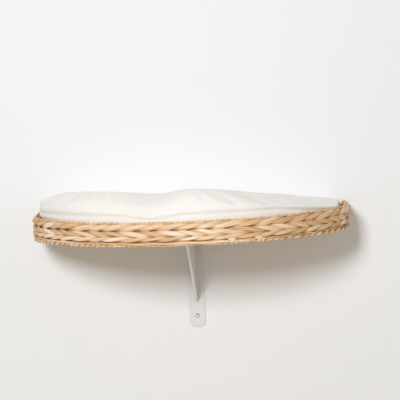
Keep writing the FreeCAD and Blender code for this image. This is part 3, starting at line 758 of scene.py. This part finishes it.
# %% Bands
UPPER_HOLES = 0.5
LOWER_HOLES = 0.32
PLUMP_HOLES = 0.12
# The strip of painted shade behind the holes: how thin it is and how far it is set in.
SHADE_STRIP_THIN = 0.5 * MM
SHADE_STRIP_SET_IN = 1.0 * MM
UPPER_ROW_LAP = 1.3 * MM
LOWER_ROW_LAP = 0.5 * MM
TOP_LAP = 2.8 * MM
LEFT_END_RISE = 7 * MM
LEFT_END_REACH = 110 * MM
INNER_LAP = 2.0 * MM
BOTTOM_LAP = 2.2 * MM
CORD_BARED = 3.0 * MM


def shade_strip(bottom, top):
    """A flat oval that stands upright and follows the rim's line a little inside its middle."""
    level = (bottom + top) / 2
    path = rim_place - rim_outward * SHADE_STRIP_SET_IN + UP * level[:, None]
    tall = (top - bottom) / 2
    thin = np.full_like(rim_distance, SHADE_STRIP_THIN)
    # Tone nought, the darkest leaf colour: a strip of painted shade behind the holes.
    grid = np.zeros((RIM_ROWS, SIDES))
    points = sweep_oval(path, rim_outward, tall, thin, np.ones((RIM_ROWS, SIDES)))
    return points, rim_distance, {"tone_and_shade": grid, "warmth": grid}


def twined_band(name, node, hole_share, row_lap, top_lap, bottom_lap, lower_pace, seed):
    """An upper row that leans up and a lower one that leans down, with a line of holes between."""
    low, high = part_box(node)
    holes = low.z + hole_share * (high.z - low.z)
    top = high.z + top_lap
    bottom = low.z - bottom_lap
    tubes = twined_row(holes - row_lap, top, 1.0, even_pace, seed)
    tubes += twined_row(bottom, holes + row_lap, -1.0, lower_pace, seed + ROW_STRANDS)
    tubes.append(shade_strip(bottom, top - SHADE_STRIP_SET_IN))
    band = build_tubes(name, tubes, "perch")
    band.data.materials.append(leaf)
    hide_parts(node)


inner_lap = np.full(RIM_ROWS, INNER_LAP)
top_lap = TOP_LAP + LEFT_END_RISE * np.clip(1.0 - rim_distance / LEFT_END_REACH, 0.0, 1.0)
bottom_lap = BOTTOM_LAP - CORD_BARED * knobbly
upper_share = np.full(RIM_ROWS, UPPER_HOLES)
lower_share = LOWER_HOLES - PLUMP_HOLES * on_right
twined_band(
    "upper_plait_strands", "rim_upper_plait", upper_share, UPPER_ROW_LAP,
    top_lap, inner_lap, even_pace, seed=100,
)
twined_band(
    "lower_plait_strands", "rim_lower_plait", lower_share, LOWER_ROW_LAP,
    inner_lap, bottom_lap, edge_pace, seed=200,
)

# %% [markdown]
# ## The edge cords
#
# Along the top and the bottom of the rim a wire is wound with a thin strand of leaf. A helix of
# strand round the wire would be thousands of faces that nobody sees, so the cord is one tube whose
# radius rises and falls along a helix: the ridge between two turns moves round the tube as it moves
# along. Towards both ends the lower cord is thicker and its ridges are deeper, so the edge looks
# knobbly there.

# %% Edge cords
CORD_LAY = 9 * MM
KNOBBLY_LAY = 0.6
PLUMP_LAY = 0.4
LAY_UNEVEN = 2.0
LAY_LENGTH = 90 * MM
CORD_RIDGE = 0.14
KNOBBLY_RIDGE = 0.36
CORD_UNEVEN = 0.10
LUMP_LENGTH = 35 * MM
RISE_SHARE = 0.25
RISE_LENGTH = 120 * MM
KNOBBLY_OUT = 1.5 * MM
KNOBBLY_SIZE = 0.4
CORD_TONE = 0.60
CORD_MOTTLE = 0.22
MOTTLE_LENGTH = 50 * MM
# How strongly the tone paints shade into the cord's grooves, and more where the edge is knobbly.
RIDGE_SHADE = 0.35
KNOBBLY_SHADE = 0.55
RIDGE_MIDDLE = 0.75
WARM_LENGTH = 140 * MM


def wound_cord(name, node, swelling, seed):
    """A tube on the rim's line with a ridge that winds round it, once for each lay.

    The ridge is the cosine, without its sign, of half the angle from the helix. The radius is one,
    less the ridge's depth, plus twice the depth times the ridge, plus slow lumps. Where the edge is
    knobbly the lay is longer, and as far as the swelling says the ridge is deeper and the cord
    thicker.
    """
    low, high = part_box(node)
    radius = (high.z - low.z) / 2
    swollen = swelling * knobbly
    depth = (CORD_RIDGE + KNOBBLY_RIDGE * swollen)[:, None]
    lay = CORD_LAY * (1.0 + KNOBBLY_LAY * knobbly + PLUMP_LAY * on_right)
    turn = FULL_TURN * np.cumsum(rim_length / RIM_ROWS / lay)
    turn = turn + LAY_UNEVEN * wander(rim_distance, seed, LAY_LENGTH)
    ridge = np.abs(np.cos((around[None, :] - turn[:, None]) / 2))
    lumps = CORD_UNEVEN * wander(rim_distance, seed + 1, LUMP_LENGTH)
    folds = 1.0 - depth + 2 * depth * ridge + lumps[:, None]
    rise = (low.z + high.z) / 2 + RISE_SHARE * radius * wander(rim_distance, seed + 2, RISE_LENGTH)
    path = rim_place + rim_outward * (KNOBBLY_OUT * swollen)[:, None] + UP * rise[:, None]
    size = radius * (1.0 + KNOBBLY_SIZE * swollen)
    points = sweep_oval(path, rim_outward, size, size, folds)
    fresh = CORD_TONE + CORD_MOTTLE * wander(rim_distance, seed + 3, MOTTLE_LENGTH)
    # Painted shade and light: darker in the grooves between the cord's turns, paler on its ridges.
    groove_shade = (RIDGE_SHADE + KNOBBLY_SHADE * swollen)[:, None]
    tone_and_shade_grid = fresh[:, None] + groove_shade * (ridge - RIDGE_MIDDLE)
    orange = np.clip(wander(rim_distance, seed + 4, WARM_LENGTH), 0.0, 1.0)
    warmth_grid = np.repeat(orange[:, None], SIDES, axis=1)
    tube = (points, rim_distance, {"tone_and_shade": tone_and_shade_grid, "warmth": warmth_grid})
    cord = build_tubes(name, [tube], "perch")
    cord.data.materials.append(leaf)
    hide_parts(node)


wound_cord("top_edge_cord", "rim_top_binding", swelling=0.0, seed=300)
wound_cord("bottom_edge_cord", "rim_bottom_binding", swelling=1.0, seed=400)

# %% [markdown]
# ## Lashings
#
# Where a strand of the lower edge comes to its end, a few tight turns of leaf hold it. Each lashing
# is a flat strand on a helix that goes round the whole edge: its place is the rim's line, plus an
# oval turn made of the outward direction and the upright one, while it moves a little along the
# rim.

# %% Lashings round the lower edge
LASHING_PLACES = [80 * MM, 122 * MM]
LASHING_TURNS = 3
LASHING_ROWS = 90
LASHING_PITCH = 4.3 * MM
LASHING_DEEP = 6.7 * MM
LASHING_TALL = 5.2 * MM
LASHING_LEVEL = 2.6 * MM
LASHING_WIDE = 2.4 * MM
LASHING_THIN = 1.1 * MM
LASHING_WOBBLE = 0.05
WOBBLE_TURN = 5.0
WIDTH_UNEVEN = 0.15
WIDTH_TURN = 7.0
LASHING_TONE = 0.78
LASHING_MOTTLE = 0.14
MOTTLE_TURN = 6.0
LASHING_SEED = 500
SEED_STEP = 7


def at_distance(values, distance):
    """Reads what the rim's line has at other distances, one column at a time."""
    return np.stack([np.interp(distance, rim_distance, column) for column in values.T], axis=-1)


def lashing_tube(across, seed):
    """A helix round the lower edge whose middle lies at a place across the front."""
    turn = np.linspace(0.0, FULL_TURN * LASHING_TURNS, LASHING_ROWS)
    middle = np.interp(across, rim_place[:, 0], rim_distance)
    distance = middle + LASHING_PITCH * (turn / FULL_TURN - LASHING_TURNS / 2)
    outward = at_distance(rim_outward, distance)
    wobble = 1.0 + LASHING_WOBBLE * wander(turn, seed, WOBBLE_TURN)
    oval = outward * (LASHING_DEEP * wobble * np.cos(turn))[:, None]
    oval = oval + UP * (LASHING_TALL * wobble * np.sin(turn))[:, None]
    path = at_distance(rim_place, distance) + UP * LASHING_LEVEL + oval
    wide = LASHING_WIDE * (1.0 + WIDTH_UNEVEN * wander(turn, seed + 1, WIDTH_TURN))
    folds = folded_oval(distance, seed, CREASE_DEPTH, CREASE_TURN)
    points = sweep_oval(path, unit(oval), wide, np.full_like(turn, LASHING_THIN), folds)
    fresh = LASHING_TONE + LASHING_MOTTLE * wander(turn, seed + 2, MOTTLE_TURN)
    # Painted shade towards the strand's two rolled edges.
    tone_and_shade_grid = fresh[:, None] - ROLLED_SHADE * np.cos(around)[None, :] ** 4
    along = turn / FULL_TURN * (LASHING_DEEP + LASHING_TALL) * math.pi
    return points, along, {"tone_and_shade": tone_and_shade_grid, "warmth": np.zeros_like(tone_and_shade_grid)}


lashing_tubes = [
    lashing_tube(across, LASHING_SEED + SEED_STEP * index)
    for index, across in enumerate(LASHING_PLACES)
]
lashings = build_tubes("edge_lashings", lashing_tubes, "perch")
lashings.data.materials.append(leaf)

# %% [markdown]
# ## The cushion's cover, before stuffing
#
# The cushion is two panels of cream cotton, sewn together along a seam that runs all round, and
# stuffed with loose fibre. It lies loose inside the rim. To begin with it is a stack of closed
# rings: each is the half-round line set further in or out, closed along the wall and with its back
# corners rounded. Below the seam the rings curl in under the cushion. Above it they first lean out
# over the seam, then roll in towards the top, which use has pressed down: it is lower towards the
# wall and to the right.

# %% Cushion rings
top_low, top_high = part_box("cushion_cover_top")
belly_low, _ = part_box("cushion_cover_bottom")
SEAM_SPARE = 1.5 * MM
CURVED_POINTS = 290
BACK_POINTS = 175
CORNER_SOFTNESS = 6 * MM

seam_inset = outer_half - top_high.x + SEAM_SPARE
seam_wall_gap = -top_high.y + SEAM_SPARE
cushion_floor = belly_low.z
print("seam:", round(seam_inset / MM, 1), "mm inside the rim's outer face")


def soften_corners(closed_line, reach):
    """Rounds a closed line: fades each of its waves by a bell curve over its times round."""
    waves = np.fft.fft(closed_line[:, 0] + 1j * closed_line[:, 1])
    count = len(closed_line)
    times_round = np.fft.fftfreq(count, 1.0 / count)
    length = np.linalg.norm(np.roll(closed_line, -1, axis=0) - closed_line, axis=1).sum()
    fade = np.exp(-0.5 * (FULL_TURN * times_round * reach / length) ** 2)
    smooth = np.fft.ifft(waves * fade)
    return np.stack([smooth.real, smooth.imag], axis=-1)


def cushion_ring(offset):
    """The half-round line set in by the seam's inset plus an offset, and closed along the wall."""
    curved, _, _ = half_round_line(seam_inset + offset, seam_wall_gap + offset, CURVED_POINTS)
    back = np.linspace(curved[-1], curved[0], BACK_POINTS + 2)[1:-1]
    return soften_corners(np.concatenate([curved, back])[:, :2], CORNER_SOFTNESS)


# %% [markdown]
# ## How high the cushion stands
#
# A stuffed cushion that has been in use is never level. One line of rises says how high its top
# stands over the seam in front, from the left end to the right, as shares of the solid cushion's
# own rise. A bell curve smooths that line, and towards the wall the top falls. The seam dips in
# front of the dent and sinks at the right end. It could be sculpted, but numbers are easier to
# change later.

# %% Heights of the cushion
CREST_PLACES = [
    -1.0, -0.95, -0.84, -0.70, -0.55, -0.38, -0.20,
    0.0, 0.14, 0.30, 0.50, 0.70, 0.84, 1.0,
]
CREST_RISES = [
    0.83, 0.88, 0.93, 0.98, 0.99, 0.88, 0.65,
    0.99, 0.93, 0.79, 0.55, 0.37, 0.22, -0.2,
]
CREST_SPAN = 1.6
CREST_SAMPLES = 801
WALL_RISE_SHARE = 0.38
WALL_SLUMP_SHARE = 0.3
WALL_SLUMP_FROM = 40 * MM
WALL_SLUMP_OVER = 140 * MM
SWELL_ROOM = 1.5 * MM
CREST_BLUR = 14 * MM
DENT_AT = -52 * MM
DENT_WIDTH = 34 * MM
SEAM_DENT_DEPTH = 7 * MM
SEAM_DROP_FROM = 140 * MM
SEAM_END_DROP = 14 * MM

cushion_half = top_high.x
seam_level = top_low.z
crown_height = top_high.z - seam_level
print("crown:", round(crown_height / MM, 1), "mm over the seam")


def ease(value):
    """Rises smoothly from 0 to 1: three times the square less twice the cube."""
    value = np.clip(value, 0.0, 1.0)
    return value * value * (3.0 - 2.0 * value)


def front_reach_at(across):
    """How far in front of the wall the cushion's seam lies at a place across it, on the arcs."""
    side = np.minimum(np.abs(across), cushion_half)
    in_corner = side > corner_across + corner_radius * math.cos(corner_turn) - seam_inset
    beyond = (side - corner_across).clip(0.0)
    corner = np.sqrt(((corner_radius - seam_inset) ** 2 - beyond**2).clip(0.0)) - corner_centre
    front = np.sqrt(((front_radius - seam_inset) ** 2 - side**2).clip(0.0)) - front_centre
    return np.where(in_corner, corner, front)


def crest_rise_at(across):
    """The top's rise over the seam in front: shares of the crown, blurred by a bell curve."""
    fine = np.linspace(-CREST_SPAN, CREST_SPAN, CREST_SAMPLES)
    shares = np.interp(fine, CREST_PLACES, CREST_RISES)
    reach = CREST_BLUR / cushion_half
    bell = np.exp(-0.5 * (fine / reach) ** 2)
    smooth = np.convolve(shares, bell / bell.sum(), mode="same")
    return crown_height * np.interp(across / cushion_half, fine, smooth)


def seam_height_at(across, back):
    """The seam's height: level, less a dip in front of the dent and a drop at the right end."""
    bell = np.exp(-((across - DENT_AT) / DENT_WIDTH) ** 2)
    dent = SEAM_DENT_DEPTH * bell * ease(-back / outer_depth)
    drop = SEAM_END_DROP * ease((across - SEAM_DROP_FROM) / (cushion_half - SEAM_DROP_FROM))
    return seam_level - dent - drop


def crest_height_at(across, back):
    """The top's height: the front's rise over the seam, falling to its share at the wall."""
    towards_wall = np.clip(1.0 + back / front_reach_at(across).clip(MM), 0.0, 1.0)
    wall_slump = WALL_SLUMP_SHARE * ease((across - WALL_SLUMP_FROM) / WALL_SLUMP_OVER)
    fall = 1.0 - (1.0 - WALL_RISE_SHARE + wall_slump) * towards_wall
    return seam_level + crest_rise_at(across) * fall - SWELL_ROOM


# %% [markdown]
# ## The stack of rings
#
# Each ring has an offset, which says how far in it lies, and a climb, which says how far up. A
# climb of minus one is the board, nought is the seam, and one is the top. The sine and the cosine
# of one angle make offset and climb roll over evenly, as cloth does round a filling. A squashed
# ball would be quicker, but it has no seam and no flat underside. The last rings close the top in
# one line.

# %% Stack the rings
FOOT_ROLL = 14 * MM
BELLY_BULGE = 3.5 * MM
CROWN_ROLL = 34 * MM
LIP_BULGE = 6 * MM
ROLL_SHARE = 0.96
CROWN_REACH = 80 * MM
ROLL_ROWS = 16
CROWN_ROWS = 10
MIDDLE_ROWS = 8

foot_angle = np.linspace(math.pi / 2, 0.0, ROLL_ROWS)
roll_angle = np.linspace(0.0, math.pi / 2, ROLL_ROWS)[1:]
crown_share = np.linspace(0.0, 1.0, CROWN_ROWS)[1:]
offsets = np.concatenate([
    FOOT_ROLL * (1.0 - np.cos(foot_angle)) - BELLY_BULGE * np.sin(2 * foot_angle),
    CROWN_ROLL * (1.0 - np.cos(roll_angle)) - LIP_BULGE * np.sin(2 * roll_angle),
    CROWN_ROLL + CROWN_REACH * crown_share,
])
crown_rise = 1.0 - (1.0 - crown_share) ** 2
climbs = np.concatenate([
    -np.sin(foot_angle),
    ROLL_SHARE * np.sin(roll_angle),
    ROLL_SHARE + (1.0 - ROLL_SHARE) * crown_rise,
])
rings = np.stack([cushion_ring(offset) for offset in offsets])
top_middle = (top_low.y + top_high.y) / 2
closing = np.linspace(0.0, 1.0, MIDDLE_ROWS)[1:, None]
closing_back = top_middle + (rings[-1, :, 1] - top_middle) * (1.0 - closing)
closing_across = np.broadcast_to(rings[-1, :, 0], closing_back.shape)
rings = np.concatenate([rings, np.stack([closing_across, closing_back], axis=-1)])
climbs = np.concatenate([climbs, np.ones(MIDDLE_ROWS - 1)])[:, None]

seam_heights = seam_height_at(rings[..., 0], rings[..., 1])
crest_heights = crest_height_at(rings[..., 0], rings[..., 1])
heights = seam_heights + np.where(
    climbs > 0,
    climbs * (crest_heights - seam_heights),
    climbs * (seam_heights - cushion_floor),
)
cover_grid = np.concatenate([rings, heights[..., None]], axis=-1)
print("cushion cover:", cover_grid.shape[0], "rings of", cover_grid.shape[1], "points")

# %% [markdown]
# ## Stuffing by simulation
#
# Blowing the cover up with Blender's cloth is the quickest way to a form that looks stuffed. The
# mesh is first rebuilt from small cubes, so that its faces are even. Then the cloth gets air
# pressure and no gravity, while the seam and the part that lies on the board are held still: the
# panels swell over the seam and leave the crease that a sewn edge has. A cap on how far a point may
# move keeps it in place.

# %% Remesh the cover
VOXEL = 4.5 * MM

cushion = build_tubes(
    "stuffed_cushion",
    [(cover_grid, np.arange(len(cover_grid)), {})],
    "cushion",
    closed_far_end=False,
)
bpy.context.view_layer.objects.active = cushion
cushion.select_set(True)
cushion.data.remesh_voxel_size = VOXEL
cushion.data.remesh_voxel_adaptivity = 0.0
bpy.ops.object.voxel_remesh()
print("remeshed cover:", len(cushion.data.polygons), "faces")

# %% [markdown]
# ## What is held still
#
# The seam and the underside may not move while the cover swells. Their points could be marked by
# hand, but that would have to be done again after each change of shape. So they are found by
# measuring: how high a point lies over the seam, and how far inside the rim's outer face.

# %% Hold the seam and the underside
HELD_BAND = 4 * MM
FLOOR_BAND = 3 * MM


def mesh_points(mesh):
    """All vertex places of a mesh as one array."""
    flat = np.empty(len(mesh.vertices) * 3, np.float32)
    mesh.vertices.foreach_get("co", flat)
    return flat.reshape(-1, 3).astype(float)


def inset_of(points):
    """How far points lie inside the rim's outer face, and the outward direction there.

    In front of the corner arcs it is the front radius less the distance from the front's centre.
    Beside a corner arc it is the same with the corner's radius and centre. Elsewhere it is the half
    width less the distance across.
    """
    across = np.abs(points[:, 0])
    side = np.sign(points[:, 0])
    front_ray = np.stack([across, points[:, 1] - front_centre], axis=-1)
    corner_ray = np.stack([across - corner_across, points[:, 1] - corner_centre], axis=-1)
    front_reach = np.linalg.norm(front_ray, axis=-1)
    corner_reach = np.linalg.norm(corner_ray, axis=-1)
    in_front = np.arctan2(-front_ray[:, 1], front_ray[:, 0]) > corner_turn
    in_corner = (corner_ray[:, 1] < 0) & (corner_ray[:, 0] > 0)
    inset = np.select(
        [in_front, in_corner],
        [front_radius - front_reach, corner_radius - corner_reach],
        outer_half - across,
    )
    outward = np.select(
        [in_front[:, None], in_corner[:, None]],
        [front_ray / front_reach[:, None].clip(MM), corner_ray / corner_reach[:, None].clip(MM)],
        np.array([1.0, 0.0]),
    )
    return inset, outward * np.stack([side, np.ones_like(side)], axis=-1)


start_points = mesh_points(cushion.data)
start_inset, _ = inset_of(start_points)
from_seam = start_points[:, 2] - seam_height_at(start_points[:, 0], start_points[:, 1])
from_edge = np.minimum(start_inset - seam_inset, -start_points[:, 1] - seam_wall_gap)
at_seam = (np.abs(from_seam) < HELD_BAND) & (from_edge < 2 * HELD_BAND)
on_board = start_points[:, 2] < cushion_floor + FLOOR_BAND
held = cushion.vertex_groups.new(name="held")
held.add(np.flatnonzero(at_seam | on_board).tolist(), 1.0, "REPLACE")
print("cushion mesh:", len(start_points), "points,", int((at_seam | on_board).sum()), "held")

# %% [markdown]
# ## Air in the cover
#
# Air presses outwards everywhere, as a loose filling does. Twenty short steps of cloth are enough
# for the panels to swell and fold. The form is read from the last step, and a point that went
# further than the cap is pulled back along its own way.

# %% Blow up the cover
SWELL_CAP = 7 * MM
AIR_PRESSURE = 4.0
CLOTH_FRAMES = 20
TINY = 1e-9

swollen_points = start_points
cloth = cushion.modifiers.new("cloth", "CLOTH")
cloth.settings.vertex_group_mass = "held"
cloth.settings.use_pressure = True
cloth.settings.uniform_pressure_force = AIR_PRESSURE
cloth.settings.effector_weights.gravity = 0.0
cloth.point_cache.frame_end = CLOTH_FRAMES
for step in range(1, CLOTH_FRAMES + 1):
    scene.frame_set(step)
swollen = cushion.evaluated_get(bpy.context.evaluated_depsgraph_get())
swollen_points = mesh_points(swollen.data)
cushion.modifiers.remove(cloth)
scene.frame_set(1)
moved = swollen_points - start_points
moved_length = np.linalg.norm(moved, axis=1, keepdims=True).clip(TINY)
capped_points = start_points + moved * np.minimum(1.0, SWELL_CAP / moved_length)
cushion.data.vertices.foreach_set("co", capped_points.astype(np.float32).ravel())
cushion.data.update()
print("cushion moved by up to", round(float(moved_length.max()) / MM, 1), "mm before the cap,",
      round(float(np.median(moved_length)) / MM, 1), "mm in the middle of the range")

# %% [markdown]
# ## The seam and the room inside the rim
#
# One subdivision makes the cover smooth. The small cubes have wiped out the seam's narrow groove,
# so it is pressed in afterwards, by a bell curve over the height. Then the cushion is fitted to its
# place: it leans out a little over the rim on the left, and no point lies in the rim, in the board
# or in the wall. A second simulation could find that room, but a few array lines do it exactly.

# %% Subdivide once and settle the cushion
SEAM_PINCH = 2.2 * MM
PINCH_BAND = 2.8 * MM
PINCH_REACH = 14 * MM
RIM_ROOM = 0.8 * MM
WALL_ROOM = 1.0 * MM
LEFT_LEAN = 3.5 * MM
LEFT_LEAN_FROM = 130 * MM
LEFT_LEAN_OVER = 135 * MM

smoother = cushion.modifiers.new("smoother", "SUBSURF")
smoother.levels = 1
smoother.render_levels = 1
dense = cushion.evaluated_get(bpy.context.evaluated_depsgraph_get())
dense_mesh = bpy.data.meshes.new_from_object(dense)
cushion.modifiers.clear()
cushion.data = dense_mesh

cushion_points = mesh_points(dense_mesh)
inset, outward = inset_of(cushion_points)
from_seam = cushion_points[:, 2] - seam_height_at(cushion_points[:, 0], cushion_points[:, 1])
at_edge = 1.0 - ease((inset - seam_inset) / PINCH_REACH)
pinch = SEAM_PINCH * at_edge * np.exp(-((from_seam / PINCH_BAND) ** 2))
cushion_points[:, :2] -= outward * pinch[:, None]
over_rim = ease((cushion_points[:, 2] - rim_high.z) / (rim_thick / 2))
left_end = ease((-cushion_points[:, 0] - LEFT_LEAN_FROM) / LEFT_LEAN_OVER)
cushion_points[:, 0] -= LEFT_LEAN * over_rim * left_end
inset, outward = inset_of(cushion_points)
inside_rim = cushion_points[:, 2] < rim_high.z + rim_thick / 2
too_far = np.where(inside_rim, rim_thick + RIM_ROOM - inset, 0.0).clip(0.0)
cushion_points[:, :2] -= outward * too_far[:, None]
cushion_points[:, 2] = cushion_points[:, 2].clip(cushion_floor, None)
cushion_points[:, 1] = cushion_points[:, 1].clip(None, -WALL_ROOM)
dense_mesh.vertices.foreach_set("co", cushion_points.astype(np.float32).ravel())
dense_mesh.update()
dense_mesh.shade_smooth()
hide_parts("cushion_cover_top", "cushion_cover_bottom", "cushion_filling")
print("cushion:", len(dense_mesh.polygons), "faces, top at",
      round(float(cushion_points[:, 2].max()) / MM, 1), "mm")

# %% [markdown]
# ## The cotton
#
# The cover is unbleached cotton, matt and a little fuzzy. Noise about as fine as the threads stands
# for the weave, as a bump only, because from here no single thread can be seen. Broad noise lets
# the cream vary by a breath, and a touch of sheen stands for the fuzz. Light goes a little way into
# the white fibre and comes out again, which softens the shade in the creases. All of it reads
# object coordinates, because the remesh leaves no UV map.

# %% Cotton finish
THREADS_PER_METRE = 1100.0
CLOUDS_PER_METRE = 14.0
LIGHT_DEPTH = 14 * MM

cotton, cotton_shader = new_material("cream_cotton", (0.90, 0.872, 0.83), roughness=0.92)
cotton_shader.inputs["Specular IOR Level"].default_value = 0.15
cotton_shader.inputs["Sheen Weight"].default_value = 0.08
cotton_shader.inputs["Subsurface Weight"].default_value = 0.5
cotton_shader.inputs["Subsurface Radius"].default_value = (1.0, 0.9, 0.75)
cotton_shader.inputs["Subsurface Scale"].default_value = LIGHT_DEPTH
cloth_place = add_node(cotton, "ShaderNodeTexCoord").outputs["Object"]
cloud = stretched_noise(cotton, cloth_place, (CLOUDS_PER_METRE,) * 3, detail=3.0)
cotton_colour = add_ramp(cotton, cloud, [
    (0.30, (0.885, 0.852, 0.80)),
    (0.70, (0.915, 0.893, 0.857)),
])
feed(cotton, cotton_shader.inputs["Base Color"], cotton_colour)
threads = stretched_noise(cotton, cloth_place, (THREADS_PER_METRE,) * 3, detail=2.0)
add_bump(cotton, cotton_shader, threads, strength=0.35, distance=0.15 * MM)
cushion.data.materials.clear()
cushion.data.materials.append(cotton)
print(cushion.name, "wears", cotton.name)
